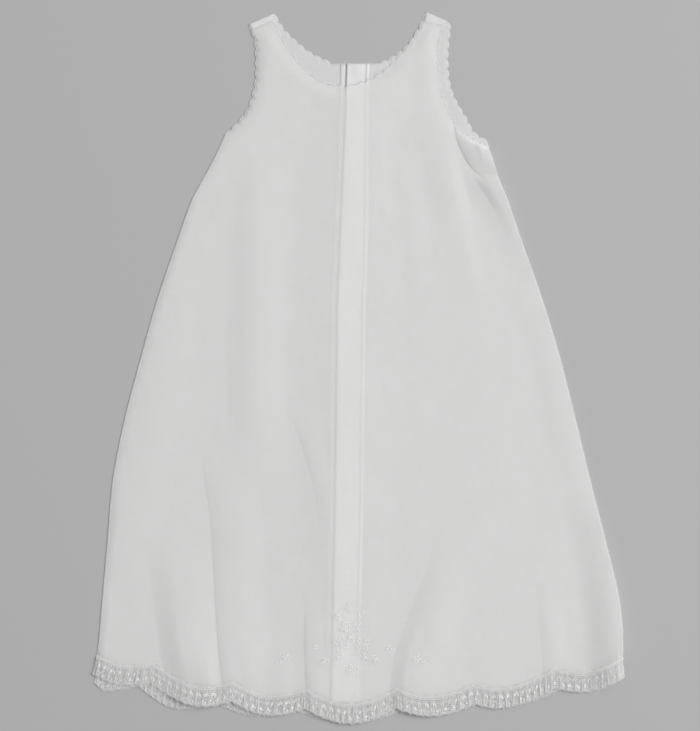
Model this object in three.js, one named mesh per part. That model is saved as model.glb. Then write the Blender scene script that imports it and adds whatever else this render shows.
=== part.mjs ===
// Sleeveless christening gown laid flat, front up: one front panel, two back halves that lap over each
// other down the whole centre back, a gathered lace edging sewn round each hem, and one neck button
// between the two laps. Millimetres; +X to the right of someone looking down on the front, +Y towards
// the neck, +Z up off the surface the gown lies on.
import * as THREE from "three";

// ---- driving sizes ----
const CLOTH = 1.0; // wall of every cloth and lace piece
const SEAM_GAP = 0.3; // air left between neighbouring pieces
const FACING_WALL = 1.6; // wall of a back half where its own facing is turned over
const SCALLOP_PITCH = 8.2; // worked scallops round neck and armholes
const SCALLOP_DEPTH = 1.4;
const SCALLOP_STEPS = 4;
const LACE_DEPTH = 15.6; // hem seam to the free edge of the lace
const LACE_FAN = { left: 13, right: 4 }; // degrees the lace leans outwards at each side seam
const GATHER_PITCH = 14.5; // largest gathers of the lace
const GATHER_STEPS = 4;
const GATHER_LIFT_BACK = 1.0; // height of a gather
const GATHER_LIFT_FRONT = 1.6;
const GATHER_AT_SEAM = 0.35; // share of that height already there at the seam
const HEM_RISE = 1.3; // the front's hem lies on the back's lace
const HEM_RISE_OVER = 30; // and comes down to the back over this length
const FRONT_FLOOR = CLOTH + SEAM_GAP; // underside of the front where it lies on one layer

// Centre back: the right half's folded edge from neck to hem, a little out of upright and gently bowed.
const CENTRE_BACK = [
  { y: 260.5, x: -10.5 },
  { y: 212, x: -12 },
  { y: 57.5, x: -18.8 },
  { y: -114, x: -20.7 },
  { y: -285.5, x: -24.3 },
];
const CENTRE_NECK = CENTRE_BACK[0];
const CENTRE_HEM = CENTRE_BACK[CENTRE_BACK.length - 1];
const LEFT_LAP = 18.9; // how far the left half reaches under the right half
const LEFT_FACING_FROM = -5.2; // where the left half's facing starts, from the centre-back edge
const RIGHT_FACING = 19.4; // width of the right half's facing
const FACING_STEP = 2.0; // width of the step at a facing's sewn edge
const LAP_DROP = 12; // length over which the right half comes down beside the lap
const FRONT_LAP_LEFT = -3.5; // the front lies level over the lap between these two
const FRONT_LAP_RIGHT = 24;
const FRONT_LAP_DROP_LEFT = 16;
const FRONT_LAP_DROP_RIGHT = 18;
const RIGHT_FLOOR = FACING_WALL + SEAM_GAP; // underside of the right half on the lap
const FRONT_LAP_FLOOR = RIGHT_FLOOR + FACING_WALL + SEAM_GAP;

const BUTTON = { x: 1.7, y: 255.7, radius: 3.3, thick: 1.2, bevel: 0.25, hole: 0.5, holeAt: 0.95 };
const BUTTON_CLEAR = 4.2; // the right half lies level over the button to this radius
const BUTTON_FADE = 9.0; // and is back on the lap at this one

const GRID_FRONT = 29; // spacing of the panel points away from edges and folds
const GRID_BACK = 44;
const LINE_STEP = 21; // spacing of points along the lap lines and the folds

// ---- outline tables ----
// Side seams, underarm to hem.
const SIDES = [
  { y: 186, left: -121, right: 112.2 },
  { y: 160.5, left: -134.5, right: 120.7 },
  { y: 143.5, left: -143.5, right: 127.7 },
  { y: 109, left: -156, right: 139.7 },
  { y: 57.5, left: -173.5, right: 157.7 },
  { y: 6, left: -188, right: 173.2 },
  { y: -45.5, left: -201.5, right: 186.2 },
  { y: -97, left: -211.5, right: 198.7 },
  { y: -148.5, left: -216, right: 211.7 },
  { y: -200, left: -220.5, right: 223.7 },
  { y: -234, left: -223.5, right: 226.7 },
];
// Armhole edges from the shoulder down: the two layers don't lie edge on edge.
const ARMHOLES = [
  { y: 282.5, frontLeft: -89.5, backLeft: -87, frontRight: 69, backRight: 77 },
  { y: 270.5, frontLeft: -88.5, backLeft: -85.5, frontRight: 68, backRight: 76 },
  { y: 258.5, frontLeft: -88, backLeft: -85, frontRight: 68, backRight: 76 },
  { y: 246, frontLeft: -88.5, backLeft: -86, frontRight: 69, backRight: 77 },
  { y: 233.5, frontLeft: -91, backLeft: -88.5, frontRight: 71.5, backRight: 80.5 },
  { y: 222, frontLeft: -95, backLeft: -92.5, frontRight: 76, backRight: 86.5 },
  { y: 213, frontLeft: -101, backLeft: -98, frontRight: 80.5, backRight: 92 },
  { y: 204, frontLeft: -109.5, backLeft: -108, frontRight: 85.5, backRight: 96.5 },
];
const UNDERARM = {
  frontLeft: { x: -116, y: 198 },
  backLeft: { x: -115.5, y: 197.5 },
  frontRight: { x: 109.5, y: 189 },
  backRight: { x: 110.5, y: 193.5 },
};
// Where the right armholes turn under the arm before they reach the side seam.
const UNDERARM_TURN = { frontRight: { x: 94, y: 197 }, backRight: { x: 101.5, y: 198.5 } };
// Shoulders: the back's strap folds over the top (fold) and is sewn to the front below it (seam).
const SHOULDERS = {
  left: { foldOut: { x: -94.5, y: 294 }, foldIn: { x: -73, y: 303.3 }, seamOut: { x: -92.5, y: 289.5 }, seamIn: { x: -74, y: 298 } },
  right: { foldOut: { x: 76, y: 296.5 }, foldIn: { x: 57.5, y: 304.6 }, seamOut: { x: 72.3, y: 293.7 }, seamIn: { x: 56, y: 297 } },
};
const ROLL_FROM = 0.3; // the fold's inner step, measured up from the seam
const ROLL_TO = 1.3;
const NECK_FRONT = [
  { x: -63.5, y: 277 },
  { x: -46.5, y: 255.5 },
  { x: -31, y: 244.5 },
  { x: -12, y: 241.5 },
  { x: 7.5, y: 246.5 },
  { x: 25, y: 257.5 },
  { x: 39.5, y: 273 },
  { x: 49, y: 286.5 },
];
const NECK_BACK_LEFT = [
  { x: -65, y: 290 },
  { x: -55, y: 280 },
  { x: -42, y: 269.5 },
  { x: -27.5, y: 262.5 },
];
const NECK_BACK_RIGHT = [
  { x: 20.5, y: 261.5 },
  { x: 28.5, y: 266 },
  { x: 36, y: 271 },
  { x: 43, y: 278 },
  { x: 49, y: 286.5 },
];
const NECK_BACK_TOP = 260.5; // the straight top of the two facings
// Hem seams: large scallops, each from a cusp down through its low point to the next cusp.
const HEM_FRONT = [
  { cuspX: -225, cuspY: -248, lowX: -197.5, lowY: -257.5 },
  { cuspX: -176.5, cuspY: -255.5, lowX: -131.5, lowY: -275 },
  { cuspX: -107.5, cuspY: -271, lowX: -74, lowY: -283 },
  { cuspX: -45, cuspY: -277.5, lowX: -7.5, lowY: -290 },
  { cuspX: 32, cuspY: -277, lowX: 61, lowY: -283.5 },
  { cuspX: 98.5, cuspY: -273.5, lowX: 117.5, lowY: -277 },
  { cuspX: 168, cuspY: -259.5, lowX: 189.5, lowY: -263 },
  { cuspX: 226.5, cuspY: -249.5 },
];
const HEM_BACK = [
  { cuspX: -224, cuspY: -255, lowX: -213.5, lowY: -262.5 },
  { cuspX: -187, cuspY: -258, lowX: -149.5, lowY: -278 },
  { cuspX: -117.5, cuspY: -274.5, lowX: -83, lowY: -284 },
  { cuspX: -51.5, cuspY: -280, lowX: -6, lowY: -289.5 },
  { cuspX: 36, cuspY: -279.5, lowX: 66, lowY: -282.5 },
  { cuspX: 100, cuspY: -274, lowX: 121, lowY: -276 },
  { cuspX: 171, cuspY: -261.5, lowX: 196, lowY: -263.5 },
  { cuspX: 226, cuspY: -250.5 },
];
// Largest folds of the front: crest through three stations, lift at each, reach to the left and right.
const FOLDS = [
  { name: "left_fold", topX: -136.5, topY: -71, topLift: 0, midX: -126, midY: -166, midLift: 2.4, lowX: -117, lowY: -271, lowLift: 3.4, reachLeft: 13, reachRight: 6 },
  { name: "inner_left_fold", topX: -48, topY: -200, topLift: 0, midX: -46.5, midY: -243, midLift: 1.8, lowX: -45, lowY: -277, lowLift: 2.6, reachLeft: 9, reachRight: 6 },
  { name: "left_swell", topX: -198, topY: -130, topLift: 0, midX: -190, midY: -205, midLift: 1.8, lowX: -181, lowY: -256, lowLift: 2.4, reachLeft: 18, reachRight: 15 },
  { name: "inner_right_swell", topX: 63, topY: -125, topLift: 0, midX: 56, midY: -205, midLift: 1.8, lowX: 52, lowY: -279, lowLift: 2.4, reachLeft: 13, reachRight: 13 },
  { name: "outer_right_swell", topX: 180, topY: -140, topLift: 0, midX: 190, midY: -210, midLift: 2.0, lowX: 196, lowY: -261, lowLift: 2.4, reachLeft: 18, reachRight: 11 },
  { name: "underarm_tuck", topX: 80.5, topY: 212, topLift: 2.2, midX: 89, midY: 177.5, midLift: 2.2, lowX: 116, lowY: 140, lowLift: 0, reachLeft: 20, reachRight: 3 },
  { name: "bodice_swell", topX: -112, topY: 150, topLift: 0, midX: -112, midY: 57, midLift: 1.6, lowX: -106, lowY: -50, lowLift: 0, reachLeft: 22, reachRight: 16 },
  { name: "middle_crease", topX: -60, topY: -38, topLift: 0, midX: -48, midY: -76, midLift: 1.2, lowX: -35, lowY: -124, lowLift: 0, reachLeft: 9, reachRight: 6 },
];

// ---- small helpers ----
const clamp01 = (v) => Math.min(1, Math.max(0, v));
const mix = (a, b, f) => a + (b - a) * f;
const between = (p, q, f) => ({ x: mix(p.x, q.x, f), y: mix(p.y, q.y, f) });
const distance = (p, q) => Math.hypot(p.x - q.x, p.y - q.y);

// Smooth run of points through a table, about one every `step`.
function smooth(rows, step) {
  const curve = new THREE.CatmullRomCurve3(rows.map((r) => new THREE.Vector3(r.x, r.y, 0)), false, "centripetal");
  const count = Math.max(2, Math.round(curve.getLength() / step));
  return curve.getSpacedPoints(count).map((v) => ({ x: v.x, y: v.y }));
}

// Straight run between two points without the second one.
function straight(p, q, step) {
  const count = Math.max(1, Math.round(distance(p, q) / step));
  return Array.from({ length: count }, (_, i) => between(p, q, i / count));
}

// A run with worked scallops that bulge out of the cloth; runs go counter-clockwise round the panel.
function scalloped(rows) {
  const fine = smooth(rows, 0.8);
  const run = [0];
  for (let i = 1; i < fine.length; i++) run.push(run[i - 1] + distance(fine[i - 1], fine[i]));
  const length = run[run.length - 1];
  const scallops = Math.max(1, Math.round(length / SCALLOP_PITCH));
  const out = [];
  for (let k = 0; k <= scallops * SCALLOP_STEPS; k++) {
    const s = (k / (scallops * SCALLOP_STEPS)) * length;
    let i = 1;
    while (i < run.length - 1 && run[i] < s) i++;
    const p = between(fine[i - 1], fine[i], (s - run[i - 1]) / (run[i] - run[i - 1]));
    const a = fine[Math.max(0, i - 3)], b = fine[Math.min(fine.length - 1, i + 2)];
    const l = distance(a, b);
    const f = (k % SCALLOP_STEPS) / SCALLOP_STEPS;
    const bulge = SCALLOP_DEPTH * (Math.sin(Math.PI * f) - 0.5);
    out.push({ x: p.x + ((b.y - a.y) / l) * bulge, y: p.y - ((b.x - a.x) / l) * bulge });
  }
  return out;
}

// Height of a hem seam at x.
function hemY(hem, x) {
  let i = 0;
  while (i < hem.length - 2 && x > hem[i + 1].cuspX) i++;
  const a = hem[i], b = hem[i + 1];
  if (x <= a.lowX) return mix(a.cuspY, a.lowY, Math.sin((Math.PI / 2) * clamp01((x - a.cuspX) / (a.lowX - a.cuspX))));
  return mix(a.lowY, b.cuspY, 1 - Math.cos((Math.PI / 2) * clamp01((x - a.lowX) / (b.cuspX - a.lowX))));
}

// Points along a hem seam from x0 to x1, a whole number of gather steps apart.
function hemRun(hem, x0, x1) {
  const gathers = Math.max(1, Math.round((x1 - x0) / GATHER_PITCH));
  const count = gathers * GATHER_STEPS;
  return Array.from({ length: count + 1 }, (_, i) => {
    const x = mix(x0, x1, i / count);
    return { x, y: hemY(hem, x), phase: (i % GATHER_STEPS) / GATHER_STEPS };
  });
}

function centreBack(y) {
  let i = 1;
  while (i < CENTRE_BACK.length - 1 && y < CENTRE_BACK[i].y) i++;
  const a = CENTRE_BACK[i - 1], b = CENTRE_BACK[i];
  return mix(a.x, b.x, (a.y - y) / (a.y - b.y));
}
// Upright edge of a back half, `u` from the centre back, from just above the hem to just below the neck.
function lapEdge(u) {
  const count = Math.round((CENTRE_NECK.y - CENTRE_HEM.y) / LINE_STEP);
  return Array.from({ length: count - 1 }, (_, i) => {
    const y = mix(CENTRE_HEM.y, CENTRE_NECK.y, (i + 1) / count);
    return { x: centreBack(y) + u, y };
  });
}
const side = (rows, key) => rows.map((r) => ({ x: r[key], y: r.y }));

// ---- heights of the layers ----
// Straight ramp from `high` at `from` to `low` at `to`.
const ramp = (v, from, to, high, low) => mix(high, low, clamp01((v - from) / (to - from)));

function rollShare(p, shoulder) {
  const { seamOut: a, seamIn: b } = shoulder;
  const l = distance(a, b);
  const up = Math.abs(b.x - a.x) / l, along = (b.y - a.y) / l * Math.sign(b.x - a.x);
  const d = (p.y - a.y) * up - (p.x - a.x) * along;
  return clamp01((d - ROLL_FROM) / (ROLL_TO - ROLL_FROM));
}
const ROLL_RISE = FRONT_FLOOR; // the folded strap is as high as the front beside it

const backLeft = {
  floor: () => 0,
  wall(p) {
    const u = p.x - centreBack(p.y);
    const lap = ramp(u, LEFT_FACING_FROM - FACING_STEP, LEFT_FACING_FROM, CLOTH, FACING_WALL);
    return p.y > 280 && p.x < -60 ? CLOTH + ROLL_RISE * rollShare(p, SHOULDERS.left) : lap;
  },
};
const overButton = (p) => ramp(distance(p, BUTTON), BUTTON_CLEAR, BUTTON_FADE, BUTTON.thick + SEAM_GAP, 0);
const backRight = {
  floor(p) {
    const u = p.x - centreBack(p.y);
    return ramp(u, RIGHT_FACING, RIGHT_FACING + LAP_DROP, RIGHT_FLOOR, 0) + overButton(p);
  },
  wall(p) {
    const u = p.x - centreBack(p.y);
    const lap = ramp(u, RIGHT_FACING, RIGHT_FACING + FACING_STEP, FACING_WALL, CLOTH);
    return p.y > 280 && p.x > 50 ? CLOTH + ROLL_RISE * rollShare(p, SHOULDERS.right) : lap;
  },
};

// Crest position and lift of a fold at height y, from its three stations.
function foldAt(fold, y) {
  const { topY, midY, lowY } = fold;
  if (y > topY + LINE_STEP || y < lowY - LINE_STEP) return { x: fold.midX, lift: 0 };
  const f = (y - midY) * (y - lowY) / ((topY - midY) * (topY - lowY));
  const g = (y - topY) * (y - lowY) / ((midY - topY) * (midY - lowY));
  const x = fold.topX * f + fold.midX * g + fold.lowX * (1 - f - g);
  const lift = y > midY
    ? mix(fold.midLift, fold.topLift, clamp01((y - midY) / (topY - midY)))
    : mix(fold.midLift, fold.lowLift, clamp01((midY - y) / (midY - lowY)));
  return { x, lift };
}
function folds(p) {
  let rise = 0;
  for (const fold of FOLDS) {
    const at = foldAt(fold, p.y), d = p.x - at.x;
    const reach = d < 0 ? fold.reachLeft : fold.reachRight;
    if (Math.abs(d) < reach) rise = Math.max(rise, at.lift * Math.cos((Math.PI / 2) * (d / reach)) ** 2);
  }
  return rise;
}
const front = {
  floor(p) {
    const u = p.x - centreBack(p.y);
    const lap = u < 0
      ? ramp(-u, -FRONT_LAP_LEFT, FRONT_LAP_DROP_LEFT - FRONT_LAP_LEFT, FRONT_LAP_FLOOR, FRONT_FLOOR)
      : ramp(u, FRONT_LAP_RIGHT, FRONT_LAP_RIGHT + FRONT_LAP_DROP_RIGHT, FRONT_LAP_FLOOR, FRONT_FLOOR);
    const hem = FRONT_FLOOR + HEM_RISE * ramp(p.y - hemY(HEM_FRONT, p.x), 0, HEM_RISE_OVER, 1, 0);
    return Math.max(lap, hem) + folds(p);
  },
  wall: () => CLOTH,
};

// ---- triangles of a flat panel ----
function inside(poly, p) {
  let hit = false;
  for (let i = 0, j = poly.length - 1; i < poly.length; j = i++) {
    const a = poly[i], b = poly[j];
    if (a.y > p.y !== b.y > p.y && p.x < ((b.x - a.x) * (p.y - a.y)) / (b.y - a.y) + a.x) hit = !hit;
  }
  return hit;
}
function toEdge(poly, p) {
  let best = Infinity;
  for (let i = 0, j = poly.length - 1; i < poly.length; j = i++) {
    const a = poly[j], b = poly[i];
    const f = clamp01(((p.x - a.x) * (b.x - a.x) + (p.y - a.y) * (b.y - a.y)) / ((b.x - a.x) ** 2 + (b.y - a.y) ** 2));
    best = Math.min(best, distance(p, between(a, b, f)));
  }
  return best;
}
function circle(p, q, r) {
  const bx = q.x - p.x, by = q.y - p.y, cx = r.x - p.x, cy = r.y - p.y;
  const d = 2 * (bx * cy - by * cx), b2 = bx * bx + by * by, c2 = cx * cx + cy * cy;
  const x = (cy * b2 - by * c2) / d, y = (bx * c2 - cx * b2) / d;
  return { x: p.x + x, y: p.y + y, r2: x * x + y * y };
}
// Incremental Delaunay triangles of the points, kept where they lie inside the outline.
function triangles(points, outline) {
  const far = 1e4, n = points.length;
  const all = points.concat([{ x: -far, y: -far }, { x: far, y: -far }, { x: 0, y: far }]);
  let live = [{ t: [n, n + 1, n + 2], c: circle(all[n], all[n + 1], all[n + 2]) }];
  for (let i = 0; i < n; i++) {
    const rim = new Map(), kept = [];
    for (const tri of live) {
      if ((points[i].x - tri.c.x) ** 2 + (points[i].y - tri.c.y) ** 2 >= tri.c.r2) { kept.push(tri); continue; }
      for (let k = 0; k < 3; k++) {
        const a = tri.t[k], b = tri.t[(k + 1) % 3];
        if (rim.has(b + "," + a)) rim.delete(b + "," + a);
        else rim.set(a + "," + b, [a, b]);
      }
    }
    live = kept;
    for (const [a, b] of rim.values()) live.push({ t: [a, b, i], c: circle(all[a], all[b], all[i]) });
  }
  return live
    .map((tri) => tri.t)
    .filter((t) => t.every((i) => i < n))
    .filter(([a, b, c]) => {
      const p = points[a], q = points[b], r = points[c];
      if ((q.x - p.x) * (r.y - p.y) - (q.y - p.y) * (r.x - p.x) < 1e-6) return false;
      return inside(outline, { x: (p.x + q.x + r.x) / 3, y: (p.y + q.y + r.y) / 3 });
    });
}

// A cloth wall: the outline and inner points, an underside at floor(p) and a face wall(p) above it.
function panel(outline, inner, layer) {
  const points = outline.concat(inner), n = points.length, edge = outline.length;
  const tris = triangles(points, outline);
  const edges = new Set(tris.flatMap(([a, b, c]) => [a + "," + b, b + "," + c, c + "," + a]));
  for (let i = 0; i < edge; i++)
    if (!edges.has(i + "," + ((i + 1) % edge)))
      throw new Error("panel edge is lost at " + JSON.stringify(outline[i]));
  const position = [];
  for (const p of points) position.push(p.x, p.y, layer.floor(p) + layer.wall(p));
  for (const p of points) position.push(p.x, p.y, layer.floor(p));
  const index = [];
  for (const [a, b, c] of tris) index.push(a, b, c, n + a, n + c, n + b);
  for (let i = 0; i < edge; i++) {
    const j = (i + 1) % edge;
    index.push(i, n + i, n + j, i, n + j, j);
  }
  return solid(position, index);
}
function solid(position, index) {
  const geometry = new THREE.BufferGeometry();
  geometry.setAttribute("position", new THREE.Float32BufferAttribute(position, 3));
  geometry.setIndex(index);
  geometry.computeVertexNormals();
  return geometry;
}

// Points inside the outline: first the given lines, then a staggered grid that keeps clear of them.
function fill(outline, lines, grid, clear) {
  const out = lines.filter((p) => inside(outline, p) && toEdge(outline, p) > (p.near ?? 4));
  const ys = outline.map((p) => p.y), xs = outline.map((p) => p.x);
  const y0 = Math.min(...ys), y1 = Math.max(...ys), x0 = Math.min(...xs), x1 = Math.max(...xs);
  for (let row = 0; y0 + row * grid * 0.866 < y1; row++)
    for (let col = -1; x0 + col * grid < x1; col++) {
      const p = { x: x0 + (col + 0.5 * (row % 2) + 0.013 * ((row * 7) % 5)) * grid, y: y0 + row * grid * 0.866 };
      if (!inside(outline, p) || toEdge(outline, p) < 0.36 * grid) continue;
      if (out.some((q) => !q.grid && distance(p, q) < clear)) continue;
      out.push({ ...p, grid: true });
    }
  return out;
}

// Lines of points beside the centre back, level with each other.
function lapLines(offsets) {
  const out = [];
  for (let y = CENTRE_NECK.y - 8; y > -300; y -= LINE_STEP)
    for (const u of offsets) out.push({ x: centreBack(y) + u, y, near: 2.5 });
  return out;
}
function foldLines() {
  const out = [];
  for (const fold of FOLDS) {
    const count = Math.round((fold.topY - fold.lowY) / LINE_STEP);
    for (let i = 0; i <= count; i++) {
      const y = mix(fold.topY, fold.lowY, i / count), { x } = foldAt(fold, y);
      for (const d of [-fold.reachLeft, -fold.reachLeft / 2, 0, fold.reachRight / 2, fold.reachRight])
        out.push({ x: x + d, y, near: 2.2 });
    }
  }
  // A fold's points give way where they come near the lap lines or an earlier fold.
  const kept = [];
  for (const p of out) {
    const u = p.x - centreBack(p.y);
    if (u > FRONT_LAP_LEFT - FRONT_LAP_DROP_LEFT - 6 && u < FRONT_LAP_RIGHT + FRONT_LAP_DROP_RIGHT + 6) continue;
    if (kept.every((q) => distance(p, q) > 1.4)) kept.push(p);
  }
  return kept;
}

// ---- outlines, counter-clockwise from above ----
const HEM_END = { left: HEM_FRONT[0], right: HEM_FRONT[HEM_FRONT.length - 1] };
const BACK_END = { left: HEM_BACK[0], right: HEM_BACK[HEM_BACK.length - 1] };
const cusp = (c) => ({ x: c.cuspX, y: c.cuspY });
const join = (...runs) => {
  const out = [];
  for (const p of runs.flat()) if (!out.length || distance(p, out[out.length - 1]) > 0.3) out.push(p);
  if (distance(out[0], out[out.length - 1]) < 0.3) out.pop();
  return out;
};
const SIDE_STEP = 16;

const frontHem = hemRun(HEM_FRONT, HEM_END.left.cuspX, HEM_END.right.cuspX);
const frontOutline = join(
  smooth([UNDERARM.frontLeft, ...side(SIDES, "left"), cusp(HEM_END.left)], SIDE_STEP),
  frontHem,
  smooth([cusp(HEM_END.right), ...side(SIDES, "right").reverse(), UNDERARM.frontRight], SIDE_STEP),
  scalloped([UNDERARM.frontRight, UNDERARM_TURN.frontRight, ...side(ARMHOLES, "frontRight").reverse(), SHOULDERS.right.seamOut]),
  straight(SHOULDERS.right.seamOut, SHOULDERS.right.seamIn, 4).slice(1),
  scalloped([SHOULDERS.right.seamIn, ...[...NECK_FRONT].reverse(), SHOULDERS.left.seamIn]),
  straight(SHOULDERS.left.seamIn, SHOULDERS.left.seamOut, 4).slice(1),
  scalloped([SHOULDERS.left.seamOut, ...side(ARMHOLES, "frontLeft"), UNDERARM.frontLeft]),
);

const lapAtHem = (u) => CENTRE_HEM.x + u;
const leftHem = hemRun(HEM_BACK, BACK_END.left.cuspX, lapAtHem(LEFT_LAP));
const rightHem = hemRun(HEM_BACK, lapAtHem(0), BACK_END.right.cuspX);
const leftNeckEnd = { x: CENTRE_NECK.x + LEFT_LAP, y: NECK_BACK_TOP };
const rightNeckEnd = { x: CENTRE_NECK.x, y: NECK_BACK_TOP };

const leftOutline = join(
  smooth([UNDERARM.backLeft, ...side(SIDES, "left"), cusp(BACK_END.left)], SIDE_STEP),
  leftHem,
  lapEdge(LEFT_LAP),
  straight(leftNeckEnd, { x: -24, y: NECK_BACK_TOP }, 6),
  scalloped([{ x: -24, y: NECK_BACK_TOP }, ...[...NECK_BACK_LEFT].reverse(), SHOULDERS.left.foldIn]),
  straight(SHOULDERS.left.foldIn, SHOULDERS.left.foldOut, 4).slice(1),
  scalloped([SHOULDERS.left.foldOut, SHOULDERS.left.seamOut, ...side(ARMHOLES, "backLeft"), UNDERARM.backLeft]),
);
const rightOutline = join(
  [rightNeckEnd, ...lapEdge(0).reverse()],
  rightHem,
  smooth([cusp(BACK_END.right), ...side(SIDES, "right").reverse(), UNDERARM.backRight], SIDE_STEP),
  scalloped([UNDERARM.backRight, UNDERARM_TURN.backRight, ...side(ARMHOLES, "backRight").reverse(), { x: 78, y: 291 }, SHOULDERS.right.foldOut]),
  straight(SHOULDERS.right.foldOut, SHOULDERS.right.foldIn, 4).slice(1),
  scalloped([SHOULDERS.right.foldIn, ...[...NECK_BACK_RIGHT].reverse(), { x: 17, y: NECK_BACK_TOP }]),
  straight({ x: 17, y: NECK_BACK_TOP }, rightNeckEnd, 4.5).slice(1),
);

// Two lines of points along a shoulder fold's inner step.
function rollLines(shoulder) {
  const { seamOut: a, seamIn: b } = shoulder;
  const l = distance(a, b), nx = -((b.y - a.y) / l) * Math.sign(b.x - a.x), ny = Math.abs(b.x - a.x) / l;
  const out = [];
  for (const d of [ROLL_FROM, ROLL_TO])
    for (let i = -1; i <= 7; i++) {
      const p = between(a, b, i / 6);
      out.push({ x: p.x + nx * d, y: p.y + ny * d, near: 1.2 });
    }
  return out;
}
// Rings of points over the button.
function buttonRings() {
  const out = [{ x: BUTTON.x, y: BUTTON.y, near: 1 }];
  for (const r of [BUTTON_CLEAR, BUTTON_FADE])
    for (let i = 0; i < 12; i++) {
      const a = (i / 12) * 2 * Math.PI;
      out.push({ x: BUTTON.x + r * Math.cos(a), y: BUTTON.y + r * Math.sin(a), near: 1.0 });
    }
  return out;
}

const frontInner = fill(
  frontOutline,
  [...lapLines([FRONT_LAP_LEFT - FRONT_LAP_DROP_LEFT, FRONT_LAP_LEFT, 10, FRONT_LAP_RIGHT, FRONT_LAP_RIGHT + FRONT_LAP_DROP_RIGHT]), ...foldLines()],
  GRID_FRONT,
  11,
);
const leftInner = fill(
  leftOutline,
  [...lapLines([LEFT_FACING_FROM - FACING_STEP, LEFT_FACING_FROM, 7]), ...rollLines(SHOULDERS.left)],
  GRID_BACK,
  11,
);
const ringed = lapLines([RIGHT_FACING / 2, RIGHT_FACING, RIGHT_FACING + FACING_STEP, RIGHT_FACING + LAP_DROP]);
const rightInner = fill(
  rightOutline,
  [...ringed.filter((p) => distance(p, BUTTON) > BUTTON_FADE + 2.5 || p.x - centreBack(p.y) > RIGHT_FACING - 0.1), ...buttonRings(), ...rollLines(SHOULDERS.right)],
  GRID_BACK,
  11,
);

// ---- gathered lace ----
// A strip from the hem seam down: rows from seam to free edge, gathers rising towards the free edge.
const LACE_ROWS = [0, 0.5, 1];
function lace(run, base, lift, calm) {
  const position = [], index = [], n = run.length * LACE_ROWS.length;
  for (const face of [CLOTH, 0])
    for (const t of LACE_ROWS)
      for (const p of run) {
        const lean = ((p.x < 0 ? LACE_FAN.left : LACE_FAN.right) * Math.PI) / 180 * (p.x / 226);
        const down = SEAM_GAP + 0.05 + LACE_DEPTH * t;
        const wave = 0.5 - 0.5 * Math.cos(2 * Math.PI * p.phase);
        const z = base(p) + (calm(p) ? 0 : lift * wave * mix(GATHER_AT_SEAM, 1, t));
        position.push(p.x + Math.sin(lean) * down, p.y - Math.cos(lean) * down, z + face);
      }
  const at = (row, col, under) => (under ? n : 0) + row * run.length + col;
  for (let row = 0; row < LACE_ROWS.length - 1; row++)
    for (let col = 0; col < run.length - 1; col++) {
      const a = at(row, col), b = at(row + 1, col), c = at(row + 1, col + 1), d = at(row, col + 1);
      index.push(a, b, c, a, c, d, n + a, n + c, n + b, n + a, n + d, n + c);
    }
  const rim = [];
  for (let row = 0; row < LACE_ROWS.length; row++) rim.push(at(row, 0));
  for (let col = 1; col < run.length; col++) rim.push(at(LACE_ROWS.length - 1, col));
  for (let row = LACE_ROWS.length - 2; row >= 0; row--) rim.push(at(row, run.length - 1));
  for (let col = run.length - 2; col > 0; col--) rim.push(at(0, col));
  rim.forEach((a, i) => {
    const b = rim[(i + 1) % rim.length];
    index.push(a, n + a, n + b, a, n + b, b);
  });
  return solid(position, index);
}
const lapOf = (p) => p.x - CENTRE_HEM.x;
const frontLace = lace(frontHem, (p) => front.floor(p), GATHER_LIFT_FRONT, () => false);
const leftLace = lace(leftHem, () => 0, GATHER_LIFT_BACK, (p) => lapOf(p) > LEFT_FACING_FROM);
const rightLace = lace(
  rightHem,
  (p) => ramp(lapOf(p), LEFT_LAP + 4.5, LEFT_LAP + 4.5 + LAP_DROP, CLOTH + SEAM_GAP, 0),
  GATHER_LIFT_BACK,
  (p) => lapOf(p) < LEFT_LAP + 4.5,
);

// ---- neck button: flat disc with two sewing holes ----
function buttonShape() {
  const r = BUTTON.radius - BUTTON.bevel;
  const disc = new THREE.Shape().absarc(0, 0, r, 0, 2 * Math.PI, false);
  for (const sx of [-1, 1]) disc.holes.push(new THREE.Path().absarc(sx * BUTTON.holeAt, 0, BUTTON.hole + BUTTON.bevel, 0, 2 * Math.PI, true));
  const geometry = new THREE.ExtrudeGeometry(disc, {
    depth: BUTTON.thick - 2 * BUTTON.bevel,
    bevelEnabled: true,
    bevelThickness: BUTTON.bevel,
    bevelSize: BUTTON.bevel,
    bevelSegments: 1,
    curveSegments: 8,
  });
  return geometry.translate(BUTTON.x, BUTTON.y, RIGHT_FLOOR + BUTTON.bevel);
}

// ---- materials and nodes ----
const lawn = new THREE.MeshStandardMaterial({ color: 0xe6e6e5, roughness: 0.9, metalness: 0, side: THREE.DoubleSide });
const laceNet = new THREE.MeshStandardMaterial({ color: 0xdcdcdb, roughness: 0.95, metalness: 0, side: THREE.DoubleSide });
const shell = new THREE.MeshStandardMaterial({ color: 0xf0efea, roughness: 0.35, metalness: 0 });

const gown = new THREE.Group();
function add(name, geometry, material) {
  const mesh = new THREE.Mesh(geometry, material);
  mesh.name = name;
  gown.add(mesh);
}
add("back_left", panel(leftOutline, leftInner, backLeft), lawn);
add("back_right", panel(rightOutline, rightInner, backRight), lawn);
add("front_panel", panel(frontOutline, frontInner, front), lawn);
add("back_left_lace", leftLace, laceNet);
add("back_right_lace", rightLace, laceNet);
add("front_lace", frontLace, laceNet);
add("neck_button", buttonShape(), shell);

// The frame's origin is under the middle of the gown's box.
const box = new THREE.Box3().setFromObject(gown);
gown.children.forEach((mesh) => mesh.geometry.translate(-(box.min.x + box.max.x) / 2, -(box.min.y + box.max.y) / 2, -box.min.z));

export default gown;
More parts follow.
